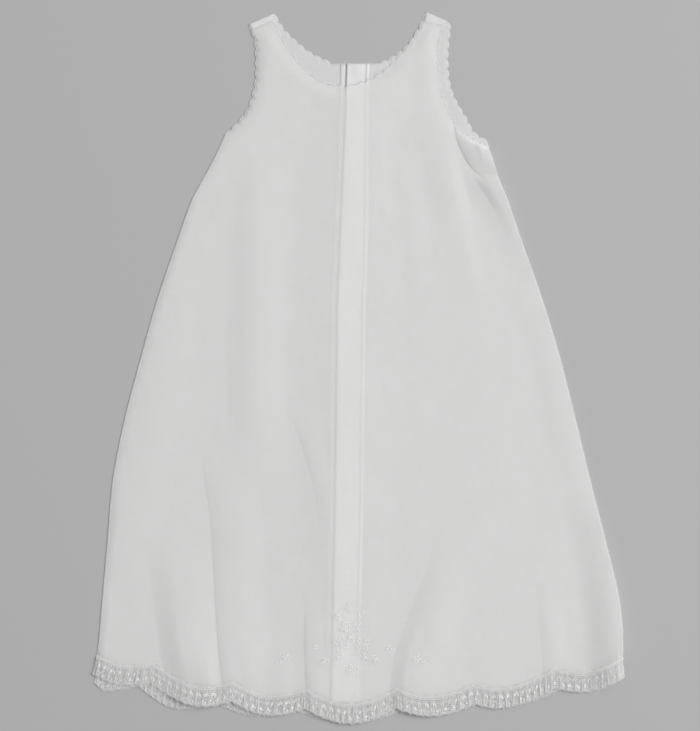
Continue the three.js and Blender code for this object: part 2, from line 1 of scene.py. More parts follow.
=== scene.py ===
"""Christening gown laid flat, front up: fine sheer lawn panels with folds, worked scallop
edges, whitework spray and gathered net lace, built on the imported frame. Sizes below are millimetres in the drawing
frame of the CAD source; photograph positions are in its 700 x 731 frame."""
import math

import bpy
import numpy as np
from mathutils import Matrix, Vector
from mathutils.geometry import delaunay_2d_cdt


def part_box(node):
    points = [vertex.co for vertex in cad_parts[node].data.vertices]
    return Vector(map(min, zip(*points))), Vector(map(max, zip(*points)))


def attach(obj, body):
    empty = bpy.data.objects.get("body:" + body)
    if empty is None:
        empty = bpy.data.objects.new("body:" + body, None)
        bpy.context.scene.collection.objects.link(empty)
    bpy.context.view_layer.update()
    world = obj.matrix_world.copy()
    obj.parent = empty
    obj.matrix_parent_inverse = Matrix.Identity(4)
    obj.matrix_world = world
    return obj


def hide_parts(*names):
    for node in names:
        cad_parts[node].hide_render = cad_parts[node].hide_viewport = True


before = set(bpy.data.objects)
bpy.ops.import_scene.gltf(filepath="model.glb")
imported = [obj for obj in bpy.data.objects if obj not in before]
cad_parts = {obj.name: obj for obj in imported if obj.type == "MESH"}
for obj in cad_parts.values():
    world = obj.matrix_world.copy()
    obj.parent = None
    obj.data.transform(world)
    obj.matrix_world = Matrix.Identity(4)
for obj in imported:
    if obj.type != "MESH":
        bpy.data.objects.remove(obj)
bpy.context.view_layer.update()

# ---------------------------------------------------------------- frame of the drawing
PX = 0.858  # millimetres to a photograph pixel
PX_X, PX_Y = 359.0, 367.0  # photograph position of the drawing's origin
BUTTON = {"x": 1.7, "y": 255.7, "radius": 3.3}
_lo, _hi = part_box("neck_button")
SHIFT = np.array([(_lo.x + _hi.x) * 500 - BUTTON["x"], (_lo.y + _hi.y) * 500 - BUTTON["y"]])


def mm(px, py):
    """Photograph position to millimetres in the drawing."""
    return ((px - PX_X) * PX, (PX_Y - py) * PX)


# ---------------------------------------------------------------- sizes
CLOTH = 0.2  # thickness of the lawn
GRID_FRONT = 2.5
GRID_BACK = 3.4
Z_BACK = 0.13  # middle of the back's single layer
Z_LEFT_FACING = 0.40
Z_RIGHT_LAP = 0.70
Z_RIGHT_FACING = 0.98
Z_FRONT = 1.35
FRONT_LAP_RISE = 0.95
HEM_RISE = 0.5
HEM_RISE_OVER = 65.0
EDGE_SETTLE = 11.0  # the front comes down on the back over this length at neck and armholes
SCALLOP_PITCH = 8.2
SCALLOP_DEPTH = 1.8
LACE_DEPTH = 15.6
LACE_FAN = {"left": math.radians(13), "right": math.radians(4)}
# y, x of the right half's folded edge down the centre back
CENTRE_BACK = [(260.5, -10.5), (212, -12), (57.5, -18.8), (-114, -20.7), (-285.5, -24.3)]
LEFT_LAP = 18.9
LEFT_FACING_FROM = -5.2
RIGHT_FACING = 19.4
FACING_SPREAD = 0.28
NECK_BACK_TOP = 260.5

# y, left, right of the side seams from underarm to hem
SIDES = [
    (186, -121, 112.2), (160.5, -134.5, 120.7), (143.5, -143.5, 127.7), (109, -156, 139.7), (57.5, -173.5, 157.7),
    (6, -188, 173.2), (-45.5, -201.5, 186.2), (-97, -211.5, 198.7), (-148.5, -216, 211.7), (-200, -220.5, 223.7),
    (-234, -223.5, 226.7),
]
# y, front left, back left, front right, back right of the armhole edges
ARMHOLES = [
    (282.5, -89.5, -87, 69, 77), (270.5, -88.5, -85.5, 68, 76), (258.5, -88, -85, 68, 76), (246, -88.5, -86, 69, 77),
    (233.5, -91, -88.5, 71.5, 80.5), (222, -95, -92.5, 76, 86.5), (213, -101, -98, 80.5, 92), (204, -109.5, -108, 85.5, 96.5),
]
UNDERARM = {"front_left": (-116, 198), "back_left": (-115.5, 197.5), "front_right": (109.5, 189), "back_right": (110.5, 193.5)}
UNDERARM_TURN = {"front_right": (94, 197), "back_right": (101.5, 198.5)}
SHOULDER = {
    "left": {"fold_out": (-94.5, 294), "fold_in": (-73, 303.3), "seam_out": (-92.5, 289.5), "seam_in": (-74, 298)},
    "right": {"fold_out": (76, 296.5), "fold_in": (57.5, 304.6), "seam_out": (72.3, 293.7), "seam_in": (56, 297)},
}
NECK_FRONT = [(-63.5, 277), (-46.5, 255.5), (-31, 244.5), (-12, 241.5), (7.5, 246.5), (25, 257.5), (39.5, 273), (49, 286.5)]
NECK_BACK_LEFT = [(-65, 290), (-55, 280), (-42, 269.5), (-27.5, 262.5)]
NECK_BACK_RIGHT = [(20.5, 261.5), (28.5, 266), (36, 271), (43, 278), (49, 286.5)]
# cusp x, cusp y, low x, low y of each hem scallop
HEM_FRONT = [
    (-225, -248, -197.5, -257.5), (-176.5, -255.5, -131.5, -275), (-107.5, -271, -74, -283), (-45, -277.5, -7.5, -290),
    (32, -277, 61, -283.5), (98.5, -273.5, 117.5, -277), (168, -259.5, 189.5, -263), (226.5, -249.5, 0, 0),
]
HEM_BACK = [
    (-224, -255, -213.5, -262.5), (-187, -258, -149.5, -278), (-117.5, -274.5, -83, -284), (-51.5, -280, -6, -289.5),
    (36, -279.5, 66, -282.5), (100, -274, 121, -276), (171, -261.5, 196, -263.5), (226, -250.5, 0, 0),
]
# Folds of the front. kind "kink": a line with the cloth rising to the right of it over the reach left and
# sinking back by the reach right; kind "ridge": a soft crest with a reach on each side. Stations are photograph x, y
# and the height there in mm, reaches are mm, sharp is the share of a kink's rise made right beside its line and soft
# how far its rise starts gently.
FOLDS = [
    {"name": "left_fold", "kind": "kink", "at": [(198, 425, 0), (203, 470, 0.5), (210, 520, 0.95), (212.5, 560, 1.35), (216, 620, 2.1), (218, 650, 2.5), (221.5, 680, 2.2), (224, 694, 1.7)], "left": 11, "right": 48, "sharp": 0.14, "soft": 0},
    {"name": "inner_left_fold", "kind": "kink", "at": [(304, 585, 0), (304, 615, 0.45), (304, 650, 0.8), (306, 692, 1.0)], "left": 5.0, "right": 20, "sharp": 0.25, "soft": 0},
    {"name": "outer_left_fold", "kind": "kink", "at": [(147, 535, 0), (150, 575, 1.4), (153.5, 605, 2.7), (157, 640, 3.8), (166, 682, 3.5)], "left": 21, "right": 66, "sharp": 0, "soft": 0.75},
    {"name": "bodice_ridge", "kind": "ridge", "at": [(262, 140, 0), (257, 190, 1.0), (255, 300, 2.0), (254, 400, 1.7), (258, 490, 0)], "left": 26, "right": 32},
    {"name": "middle_crease", "kind": "kink", "at": [(286, 405, 0), (295, 428, 0.4), (305, 456, 0.5), (318, 510, 0.3), (324, 550, 0)], "left": 6, "right": 20, "sharp": 0.1, "soft": 0},
    {"name": "inner_right_fold", "kind": "kink", "at": [(438, 515, 0), (425, 570, 0.8), (408, 615, 1.6), (395, 650, 2.3), (389, 694, 2.5)], "left": 13, "right": 48, "sharp": 0, "soft": 0.6},
    {"name": "right_ridge", "kind": "ridge", "at": [(432, 560, 0), (440, 634, 0.6), (444, 696, 0.8)], "left": 20, "right": 26},
    {"name": "outer_right_ridge", "kind": "ridge", "at": [(592, 480, 0), (605, 545, 3.2), (614, 600, 5.0), (618, 640, 6.0), (620, 678, 5.2)], "left": 31, "right": 60},
    {"name": "far_right_fold", "kind": "kink", "at": [(535, 585, 0), (540, 630, 0.5), (543, 684, 0.6)], "left": 7, "right": 24, "sharp": 0.05, "soft": 0.3},
    {"name": "underarm_tuck", "kind": "kink", "at": [(453.6, 121, 1.6), (454.5, 130, 2.8), (457, 141, 3.7), (462, 153, 4.1), (468, 164, 3.6), (474, 171, 2.8), (480, 176, 2.1), (486, 182, 1.3), (490, 188, 0.6), (495, 197, 0)], "left": 19, "right": 70, "sharp": 0.2, "soft": 0},
    {"name": "underarm_slope", "kind": "kink", "at": [(453, 168, 0), (463, 186, 2.8), (474, 206, 2.6), (492, 242, 1.5), (510, 288, 0)], "left": 27, "right": 70, "sharp": 0, "soft": 1},
    {"name": "side_crease", "kind": "kink", "at": [(471, 175, 0), (475.5, 181, 1.2), (481, 189, 2.0), (488, 200, 1.5), (497, 216, 0.7), (509, 244, 0)], "left": 7, "right": 34, "sharp": 0, "soft": 0.5},
    {"name": "underarm_streak", "kind": "kink", "at": [(468, 135, 0.5), (472, 142, 0.6), (476, 149, 0.5), (480, 160, 0.3), (483, 168, 0)], "left": 3.6, "right": 9, "sharp": 0, "soft": 0.4},
    {"name": "chest_ridge", "kind": "ridge", "at": [(440, 112, 0), (445, 150, 0.9), (451, 185, 1.4), (462, 235, 1.0), (476, 310, 0)], "left": 26, "right": 14},
    {"name": "chest_streak", "kind": "ridge", "at": [(400, 150, 0), (407, 190, 0.45), (415, 245, 0.45), (425, 320, 0)], "left": 14, "right": 16},
    {"name": "left_diagonal", "kind": "kink", "at": [(222, 196, 0), (210, 212, 0.4), (196, 232, 0.35), (186, 252, 0)], "left": 5.5, "right": 18, "sharp": 0.1, "soft": 0},
    {"name": "left_side_roll", "kind": "ridge", "at": [(190, 190, 0), (172, 300, 0.6), (150, 420, 0.8), (128, 540, 0.6), (122, 600, 0)], "left": 26, "right": 30},
    {"name": "right_side_roll", "kind": "ridge", "at": [(520, 250, 0), (543, 320, 0.8), (571, 430, 1.2), (596, 520, 0.8), (602, 545, 0)], "left": 26, "right": 50},
    {"name": "hem_sag_left", "kind": "ridge", "at": [(206, 655, 0), (208, 676, 0.9), (209, 692, 0.9)], "left": 13, "right": 10},
    {"name": "hem_sag", "kind": "ridge", "at": [(280, 645, 0), (282, 680, 0.9), (283, 702, 1.1)], "left": 18, "right": 14},
    {"name": "skirt_swell", "kind": "ridge", "at": [(340, 300, 0), (352, 480, 0.4), (352, 640, 0.5), (352, 720, 0.5)], "left": 60, "right": 46},
]

RNG = np.random.default_rng(20)
TABLE_A = RNG.random((256, 256))


# ---------------------------------------------------------------- small maths
def noise2(x, y, sx, sy, seed):
    """Smooth value noise in -1..1 with cells sx by sy."""
    u, v = np.asarray(x) / sx + 17.3 * seed, np.asarray(y) / sy + 9.1 * seed
    iu, iv = np.floor(u).astype(int), np.floor(v).astype(int)
    fu, fv = u - iu, v - iv
    fu, fv = fu * fu * fu * (fu * (6 * fu - 15) + 10), fv * fv * fv * (fv * (6 * fv - 15) + 10)
    t = lambda a, b: TABLE_A[a % 256, b % 256]
    low = t(iu, iv) * (1 - fu) + t(iu + 1, iv) * fu
    high = t(iu, iv + 1) * (1 - fu) + t(iu + 1, iv + 1) * fu
    return 2 * (low * (1 - fv) + high * fv) - 1


def smoothstep(v):
    v = np.clip(v, 0, 1)
    return v * v * (3 - 2 * v)


def mix(a, b, f):
    return a + (b - a) * f


def resample(points, step):
    """Even run of points along a polyline, ends kept."""
    p = np.asarray(points, float)
    run = np.concatenate([[0], np.cumsum(np.hypot(*np.diff(p, axis=0).T))])
    n = max(2, int(round(run[-1] / step)) + 1)
    s = np.linspace(0, run[-1], n)
    return np.stack([np.interp(s, run, p[:, 0]), np.interp(s, run, p[:, 1])], 1), s


def smooth(rows, step):
    """Centripetal spline through a few points, evenly sampled."""
    p = np.asarray(rows, float)
    p = np.vstack([2 * p[0] - p[1], p, 2 * p[-1] - p[-2]])
    out = []
    for i in range(1, len(p) - 2):
        p0, p1, p2, p3 = p[i - 1 : i + 3]
        t0 = 0.0
        t1 = t0 + np.hypot(*(p1 - p0)) ** 0.5
        t2 = t1 + np.hypot(*(p2 - p1)) ** 0.5
        t3 = t2 + np.hypot(*(p3 - p2)) ** 0.5
        t = np.linspace(t1, t2, 24, endpoint=False)[:, None]
        a1 = (t1 - t) / (t1 - t0) * p0 + (t - t0) / (t1 - t0) * p1
        a2 = (t2 - t) / (t2 - t1) * p1 + (t - t1) / (t2 - t1) * p2
        a3 = (t3 - t) / (t3 - t2) * p2 + (t - t2) / (t3 - t2) * p3
        b1 = (t2 - t) / (t2 - t0) * a1 + (t - t0) / (t2 - t0) * a2
        b2 = (t3 - t) / (t3 - t1) * a2 + (t - t1) / (t3 - t1) * a3
        out.append((t2 - t) / (t2 - t1) * b1 + (t - t1) / (t2 - t1) * b2)
    return resample(np.vstack(out + [p[-2:-1]]), step)[0]


def normals_right(p):
    """Unit normals to the right of the way the run goes."""
    d = np.gradient(p, axis=0)
    d /= np.hypot(d[:, 0], d[:, 1])[:, None]
    return np.stack([d[:, 1], -d[:, 0]], 1)


def hem_y(hem, x):
    x = np.asarray(x, float)
    y = np.zeros_like(x)
    for i in range(len(hem) - 1):
        cx, cy, lx, ly = hem[i]
        nx, ny = hem[i + 1][:2]
        here = (x >= cx if i else np.full(x.shape, True)) & (x <= nx if i < len(hem) - 2 else np.full(x.shape, True))
        down = mix(cy, ly, np.sin(np.pi / 2 * np.clip((x - cx) / (lx - cx), 0, 1)))
        up = mix(ly, ny, 1 - np.cos(np.pi / 2 * np.clip((x - lx) / (nx - lx), 0, 1)))
        y = np.where(here, np.where(x <= lx, down, up), y)
    return y


def centre_back(y):
    rows = CENTRE_BACK[::-1]
    return np.interp(np.asarray(y, float), [r[0] for r in rows], [r[1] for r in rows])


def scalloped(rows, depth=SCALLOP_DEPTH):
    """(outline run with worked scallops, its outward normals, base run, place in the scallop 0..1); runs are counter-clockwise."""
    fine = smooth(rows, 0.25)
    _, s = resample(fine, 0.25)
    length = s[-1]
    count = max(1, round(length / SCALLOP_PITCH))
    base, s = resample(fine, length / (count * 14))
    n = normals_right(base)
    f = (s / length * count) % 1.0
    f[-1] = 0
    bulge = depth * (np.sin(np.pi * f) ** 0.7 - 0.5)
    return base + n * bulge[:, None], n, base, f


# ---------------------------------------------------------------- heights
FOLD_CURVES = []
for fold in FOLDS:
    xy = np.array([mm(a[0], a[1]) for a in fold["at"]])
    h = np.array([a[2] for a in fold["at"]], float)
    run, s = resample(xy, 0.1)
    key = np.concatenate([[0], np.cumsum(np.hypot(*np.diff(xy, axis=0).T))])
    curve = smooth(xy, 2.0)
    along = np.linspace(0, 1, len(curve))
    lift = np.interp(along, key / key[-1], h)
    for _ in range(6):
        lift[1:-1] = (lift[:-2] + 2 * lift[1:-1] + lift[2:]) / 4
    order = np.argsort(-curve[:, 1])
    FOLD_CURVES.append((fold, curve[order], lift[order]))


def fold_distance(curve, lift, x, y):
    """Distance to the right of a fold's line and the line's height there."""
    ys = curve[::-1, 1]
    cx = np.interp(y, ys, curve[::-1, 0])
    slope = np.interp(y, ys, np.gradient(curve[::-1, 0], ys))
    h = np.interp(y, ys, lift[::-1], left=lift[-1], right=lift[0])
    # a line's end fades out over a short length
    over = np.maximum(y - ys[-1], ys[0] - y)
    fade = 1 - smoothstep(over / 14.0)
    return (x - cx) / np.sqrt(1 + slope**2), h * fade


def folds(x, y):
    z = np.zeros_like(x)
    for fold, curve, lift in FOLD_CURVES:
        d, h = fold_distance(curve, lift, x, y)
        wl, wr = fold["left"], fold["right"]
        if fold["kind"] == "kink":
            e = np.maximum(d, 0)
            ramp = mix(np.sin(np.pi / 2 * np.clip(e / wl, 0, 1)), smoothstep(e / wl), fold["soft"])
            rise = (1 - fold["sharp"]) * ramp + fold["sharp"] * (1 - np.exp(-e / 0.9))
            z += h * rise * (1 - smoothstep((e - 0.4 * wr) / (0.6 * wr)))
        else:
            w = np.where(d < 0, wl, wr)
            z += h * 0.5 * (1 + np.cos(np.pi * np.clip(np.abs(d) / w, 0, 1)))
    return z


def rumple(x, y, seed, amount=1.0):
    """Soft unevenness of washed and pressed lawn: long along the gown, small across it."""
    z = 0.22 * noise2(x, y, 34, 95, seed) + 0.13 * noise2(x, y, 17, 44, seed + 1)
    z += 0.045 * noise2(x + 0.3 * y, y, 8.5, 17, seed + 2) + 0.022 * noise2(x - 0.4 * y, y, 4.6, 7, seed + 3)
    return amount * z


SIDE_LEFT = smooth([UNDERARM["front_left"]] + [(l, y) for y, l, r in SIDES] + [HEM_FRONT[0][:2]], 2.0)
SIDE_RIGHT = smooth([UNDERARM["front_right"]] + [(r, y) for y, l, r in SIDES] + [HEM_FRONT[-1][:2]], 2.0)


def side_gap(x, y):
    """How far inside the left and the right side seam a point is."""
    left = np.interp(-y, -SIDE_LEFT[:, 1], SIDE_LEFT[:, 0], left=-1e3)
    right = np.interp(-y, -SIDE_RIGHT[:, 1], SIDE_RIGHT[:, 0], left=1e3)
    return x - left, right - x


def button_lift(x, y, clear, fade, height):
    r = np.hypot(x - BUTTON["x"], y - BUTTON["y"])
    return height * (1 - smoothstep((r - clear) / (fade - clear)))


def back_top(x, y):
    """Upper face of whatever part of the back lies under a point."""
    u = x - centre_back(y)
    left = Z_BACK + (Z_LEFT_FACING - Z_BACK) * smoothstep((u - LEFT_FACING_FROM + 1.5) / 1.5)
    right = z_back_right(x, y) + (Z_RIGHT_FACING - Z_RIGHT_LAP) * (1 - smoothstep((u - RIGHT_FACING) / 1.5))
    return np.where(u < -0.6, left, right) + CLOTH / 2


def free_edge_gap(x, y):
    """Distance to the front's free edges at neck and armholes."""
    shape = np.shape(x)
    p = np.column_stack([np.ravel(x), np.ravel(y)])
    out = np.full(len(p), 1e3)
    near = np.where(p[:, 1] > 150)[0]
    for i in range(0, len(near), 4000):
        k = near[i : i + 4000]
        out[k] = np.sqrt(((p[k, None, :] - FREE_EDGE[None]) ** 2).sum(2).min(1))
    return out.reshape(shape)


def z_front(x, y):
    x, y = np.asarray(x, float), np.asarray(y, float)
    u = x - centre_back(y)
    lap = np.where(u < 8, smoothstep((u + 36) / 36), 1 - smoothstep((u - 19) / 42))
    above = y - hem_y(HEM_FRONT, x)
    hem = HEM_RISE * (1 - smoothstep(above / HEM_RISE_OVER))
    z = Z_FRONT + FRONT_LAP_RISE * lap + hem + folds(x, y) + rumple(x, y, 3)
    top = back_top(x, y)
    z = np.maximum(z, top + 0.2)
    left, right = side_gap(x, y)
    z = mix(0.42, z, np.clip(left / 5.2, 0, 1) ** 0.85 * np.clip(right / 0.2, 0, 1))
    under = smoothstep((x - 70) / 25) * (1 - smoothstep((y - 212) / 25))
    settle = smoothstep(free_edge_gap(x, y) / (EDGE_SETTLE - 8.0 * under))
    strap = 0.22 * smoothstep((y - 280) / 9)
    return mix(top + 0.17 + strap + 0.8 * folds(x, y), z, settle)


def z_back_left(x, y):
    return np.full(np.shape(x), Z_BACK) + 0 * np.asarray(x)


def right_lap(x, y):
    u = np.asarray(x) - centre_back(y)
    return 1 - smoothstep((u - RIGHT_FACING) / 26)


def z_back_right(x, y):
    x, y = np.asarray(x, float), np.asarray(y, float)
    u = x - centre_back(y)
    fold = 0.2 * np.exp(-((np.maximum(u, 0) / 1.6) ** 2)) * smoothstep((y - 225) / 14)
    return mix(Z_BACK, Z_RIGHT_LAP, right_lap(x, y)) + button_lift(x, y, 2.4, 10.0, 0.5) + fold


# ---------------------------------------------------------------- meshes
def to_world(co):
    co = np.array(co, float)
    co[:, :2] += SHIFT
    return co / 1000.0


def add_mesh(name, co, faces, material, smooth_shade=True):
    me = bpy.data.meshes.new(name)
    me.from_pydata(to_world(co).tolist(), [], [list(map(int, f)) for f in faces])
    me.update()
    if smooth_shade:
        me.polygons.foreach_set("use_smooth", np.ones(len(me.polygons), bool))
    ob = bpy.data.objects.new(name, me)
    bpy.context.scene.collection.objects.link(ob)
    me.materials.append(material)
    return ob


class Soup:
    """Arrays of points and faces that end up as one joined mesh."""

    def __init__(self):
        self.co, self.faces, self.n = [], [], 0

    def add(self, co, faces):
        co = np.asarray(co, float).reshape(-1, 3)
        self.co.append(co)
        faces = np.asarray(faces)
        self.faces.extend((faces + self.n).tolist())
        self.n += len(co)

    def make(self, name, material):
        return add_mesh(name, np.vstack(self.co), self.faces, material)


def inside_rows(poly, spacing):
    """Staggered grid points inside a polygon, kept half a step from its edge."""
    a, b = poly, np.roll(poly, -1, 0)
    pts = []
    dy = spacing * 0.866
    for row, y in enumerate(np.arange(poly[:, 1].min() + dy * 0.5, poly[:, 1].max(), dy)):
        hit = (a[:, 1] > y) != (b[:, 1] > y)
        xs = np.sort(a[hit, 0] + (y - a[hit, 1]) / (b[hit, 1] - a[hit, 1]) * (b[hit, 0] - a[hit, 0]))
        for x0, x1 in zip(xs[::2], xs[1::2]):
            start = math.ceil((x0 + 0.2 * spacing) / spacing - 0.5 * (row % 2)) * spacing + 0.5 * (row % 2) * spacing
            x = np.arange(start, x1 - 0.2 * spacing, spacing)
            pts.append(np.stack([x, np.full(len(x), y)], 1))
    p = np.vstack(pts)
    keep = np.ones(len(p), bool)
    for i in range(0, len(p), 4000):
        d = ((p[i : i + 4000, None, :] - poly[None, :, :]) ** 2).sum(2).min(1)
        keep[i : i + 4000] = d > (0.42 * spacing) ** 2
    return p[keep]


def triangulate(outline, inner):
    n = len(outline)
    pts = [Vector(p) for p in np.vstack([outline, inner])]
    edges = [(i, (i + 1) % n) for i in range(n)]
    co, _, tris, *_ = delaunay_2d_cdt(pts, edges, [], 1, 1e-5)
    co = np.array([(v[0], v[1]) for v in co])
    t = np.array(tris)
    p, q, r = co[t[:, 0]], co[t[:, 1]], co[t[:, 2]]
    area = (q[:, 0] - p[:, 0]) * (r[:, 1] - p[:, 1]) - (q[:, 1] - p[:, 1]) * (r[:, 0] - p[:, 0])
    t[area < 0] = t[area < 0][:, ::-1]
    return co, t


def shell(co, z, tris, thick):
    """Closed thin sheet: the triangles at z and again just under it, with a rim."""
    n = len(co)
    top = np.column_stack([co, z + thick / 2])
    low = np.column_stack([co, z - thick / 2])
    e = np.vstack([tris[:, [0, 1]], tris[:, [1, 2]], tris[:, [2, 0]]])
    key = {}
    for a, b in e.tolist():
        key[(a, b)] = True
    rim = [(a, b) for a, b in key if (b, a) not in key]
    faces = np.vstack([tris, tris[:, ::-1] + n]).tolist() + [[a, a + n, b + n, b] for a, b in rim]
    return np.vstack([top, low]), faces


def strip(soup, rows, thick):
    """Closed thin sheet from rows of points (each k x 3), neighbouring rows joined."""
    g = np.asarray(rows, float)
    r, k = g.shape[:2]
    co = g.reshape(-1, 3)
    idx = np.arange(r * k).reshape(r, k)
    quads = np.stack([idx[:-1, :-1], idx[:-1, 1:], idx[1:, 1:], idx[1:, :-1]], -1).reshape(-1, 4)
    p, q, s = co[quads[:, 0]], co[quads[:, 1]], co[quads[:, 3]]
    if np.cross(q - p, s - p)[:, 2].sum() < 0:
        quads = quads[:, ::-1]
    nrm = np.zeros_like(co)
    fn = np.cross(co[quads[:, 1]] - co[quads[:, 0]], co[quads[:, 3]] - co[quads[:, 0]])
    for j in range(4):
        np.add.at(nrm, quads[:, j], fn)
    nrm /= np.maximum(np.linalg.norm(nrm, axis=1), 1e-9)[:, None]
    n = len(co)
    both = np.vstack([co + nrm * thick / 2, co - nrm * thick / 2])
    key = set()
    for f in quads.tolist():
        for a, b in zip(f, f[1:] + f[:1]):
            key.add((a, b))
    rim = [[a, a + n, b + n, b] for a, b in key if (b, a) not in key]
    soup.add(both, np.vstack([quads, quads[:, ::-1] + n, np.array(rim)]))


def stitches(soup, a, b, radius, arch, base_z, sides=5, rings=4, flat=0.75):
    """Many straight threads at once, each from a to b (n x 2), arching off the cloth at base_z(x, y)."""
    a, b = np.asarray(a, float), np.asarray(b, float)
    n = len(a)
    radius = np.broadcast_to(np.asarray(radius, float), (n,))
    arch = np.broadcast_to(np.asarray(arch, float), (n,))
    d = b - a
    l = np.maximum(np.hypot(d[:, 0], d[:, 1]), 1e-6)
    side = np.stack([-d[:, 1], d[:, 0]], 1) / l[:, None]
    t = np.linspace(0, 1, rings)
    taper = np.array([0.55] + [1.0] * (rings - 2) + [0.55])
    ang = np.linspace(0, np.pi, sides)
    co = np.zeros((n, rings, sides, 3))
    for i, f in enumerate(t):
        c = a + d * f
        z = base_z(c[:, 0], c[:, 1]) + arch * math.sin(math.pi * f)
        for j, w in enumerate(ang):
            r = radius * taper[i]
            co[:, i, j, :2] = c + side * (r * math.cos(w))[:, None]
            co[:, i, j, 2] = z + flat * r * math.sin(w) * 2 - 0.04
    idx = np.arange(rings * sides).reshape(rings, sides)
    quads = np.stack([idx[:-1, :-1], idx[1:, :-1], idx[1:, 1:], idx[:-1, 1:]], -1).reshape(-1, 4)
    quads = np.vstack([quads[:, ::-1]])
    allq = (quads[None] + (np.arange(n) * rings * sides)[:, None, None]).reshape(-1, 4)
    soup.add(co.reshape(-1, 3), allq)


def cord(soup, path, radius, sides=6):
    """Round thread along a 3-D path (n x 3)."""
    p = np.asarray(path, float)
    n = len(p)
    d = np.gradient(p, axis=0)
    d /= np.linalg.norm(d, axis=1)[:, None]
    up = np.tile([0.0, 0.0, 1.0], (n, 1))
    s = np.cross(d, up)
    s /= np.maximum(np.linalg.norm(s, axis=1), 1e-9)[:, None]
    w = np.cross(s, d)
    ang = np.linspace(0, 2 * np.pi, sides, endpoint=False)
    co = p[:, None, :] + radius * (np.cos(ang)[None, :, None] * s[:, None, :] + np.sin(ang)[None, :, None] * w[:, None, :])
    idx = np.arange(n * sides).reshape(n, sides)
    nxt = np.roll(idx, -1, 1)
    quads = np.stack([idx[:-1], nxt[:-1], nxt[1:], idx[1:]], -1).reshape(-1, 4)
    soup.add(co.reshape(-1, 3), quads)


# ---------------------------------------------------------------- materials
def node(tree, kind, **values):
    n = tree.nodes.new(kind)
    for k, v in values.items():
        setattr(n, k, v)
    return n


def put(n, **values):
    for k, v in values.items():
        n.inputs[k.replace("_", " ")].default_value = v
    return n


def start(name):
    m = bpy.data.materials.new(name)
    m.use_nodes = True
    t = m.node_tree
    t.nodes.clear()
    out = node(t, "ShaderNodeOutputMaterial")
    return m, t, out


def lawn_material(name, tint, alpha, through):
    """Fine sheer cotton: plain weave, uneven threads, a little light through it."""
    m, t, out = start(name)
    co = node(t, "ShaderNodeTexCoord")
    bsdf = node(t, "ShaderNodeBsdfPrincipled")
    put(bsdf, Roughness=0.88, Alpha=alpha)
    bsdf.inputs["Specular IOR Level"].default_value = 0.18
    bsdf.inputs["Sheen Weight"].default_value = 0.12
    bsdf.inputs["Sheen Roughness"].default_value = 0.5
    # uneven threads, one set along each way of the cloth
    slubs = []
    for scale, seed in (((60, 1500, 1), 0.0), ((1500, 55, 1), 4.0)):
        mp = node(t, "ShaderNodeMapping")
        mp.inputs["Scale"].default_value = scale
        mp.inputs["Location"].default_value = (seed, seed, 0)
        nz = put(node(t, "ShaderNodeTexNoise"), Scale=1.0, Detail=1.0, Roughness=0.6)
        t.links.new(co.outputs["Object"], mp.inputs["Vector"])
        t.links.new(mp.outputs["Vector"], nz.inputs["Vector"])
        slubs.append(nz)
    both = node(t, "ShaderNodeMath", operation="ADD")
    t.links.new(slubs[0].outputs["Fac"], both.inputs[0])
    t.links.new(slubs[1].outputs["Fac"], both.inputs[1])
    # washed unevenness at a larger scale
    soft = put(node(t, "ShaderNodeTexNoise"), Scale=38.0, Detail=2.0, Roughness=0.55)
    t.links.new(co.outputs["Object"], soft.inputs["Vector"])
    cloud = node(t, "ShaderNodeMath", operation="MULTIPLY_ADD")
    cloud.inputs[1].default_value = 0.35
    t.links.new(soft.outputs["Fac"], cloud.inputs[0])
    t.links.new(both.outputs[0], cloud.inputs[2])
    half = node(t, "ShaderNodeMath", operation="MULTIPLY")
    half.inputs[1].default_value = 0.5
    t.links.new(cloud.outputs[0], half.inputs[0])
    ramp = node(t, "ShaderNodeValToRGB")
    ramp.color_ramp.elements[0].position = 0.36
    ramp.color_ramp.elements[0].color = [c * 0.945 for c in tint] + [1]
    ramp.color_ramp.elements[1].position = 0.80
    ramp.color_ramp.elements[1].color = [min(1, c * 1.03) for c in tint] + [1]
    t.links.new(half.outputs[0], ramp.inputs["Fac"])
    t.links.new(ramp.outputs["Color"], bsdf.inputs["Base Color"])
    # plain weave relief
    weave = []
    for axis in ("X", "Y"):
        wv = node(t, "ShaderNodeTexWave", wave_type="BANDS", bands_direction=axis, wave_profile="SIN")
        put(wv, Scale=900.0, Distortion=0.0, Detail=0.0)
        t.links.new(co.outputs["Object"], wv.inputs["Vector"])
        weave.append(wv)
    wsum = node(t, "ShaderNodeMath", operation="ADD")
    t.links.new(weave[0].outputs["Fac"], wsum.inputs[0])
    t.links.new(weave[1].outputs["Fac"], wsum.inputs[1])
    bump = put(node(t, "ShaderNodeBump"), Strength=0.22, Distance=0.00005)
    t.links.new(wsum.outputs[0], bump.inputs["Height"])
    t.links.new(bump.outputs["Normal"], bsdf.inputs["Normal"])
    glow = put(node(t, "ShaderNodeBsdfTranslucent"), Color=(*tint, 1))
    blend = node(t, "ShaderNodeMixShader")
    blend.inputs[0].default_value = through
    t.links.new(bsdf.outputs[0], blend.inputs[1])
    t.links.new(glow.outputs[0], blend.inputs[2])
    t.links.new(blend.outputs[0], out.inputs["Surface"])
    return m


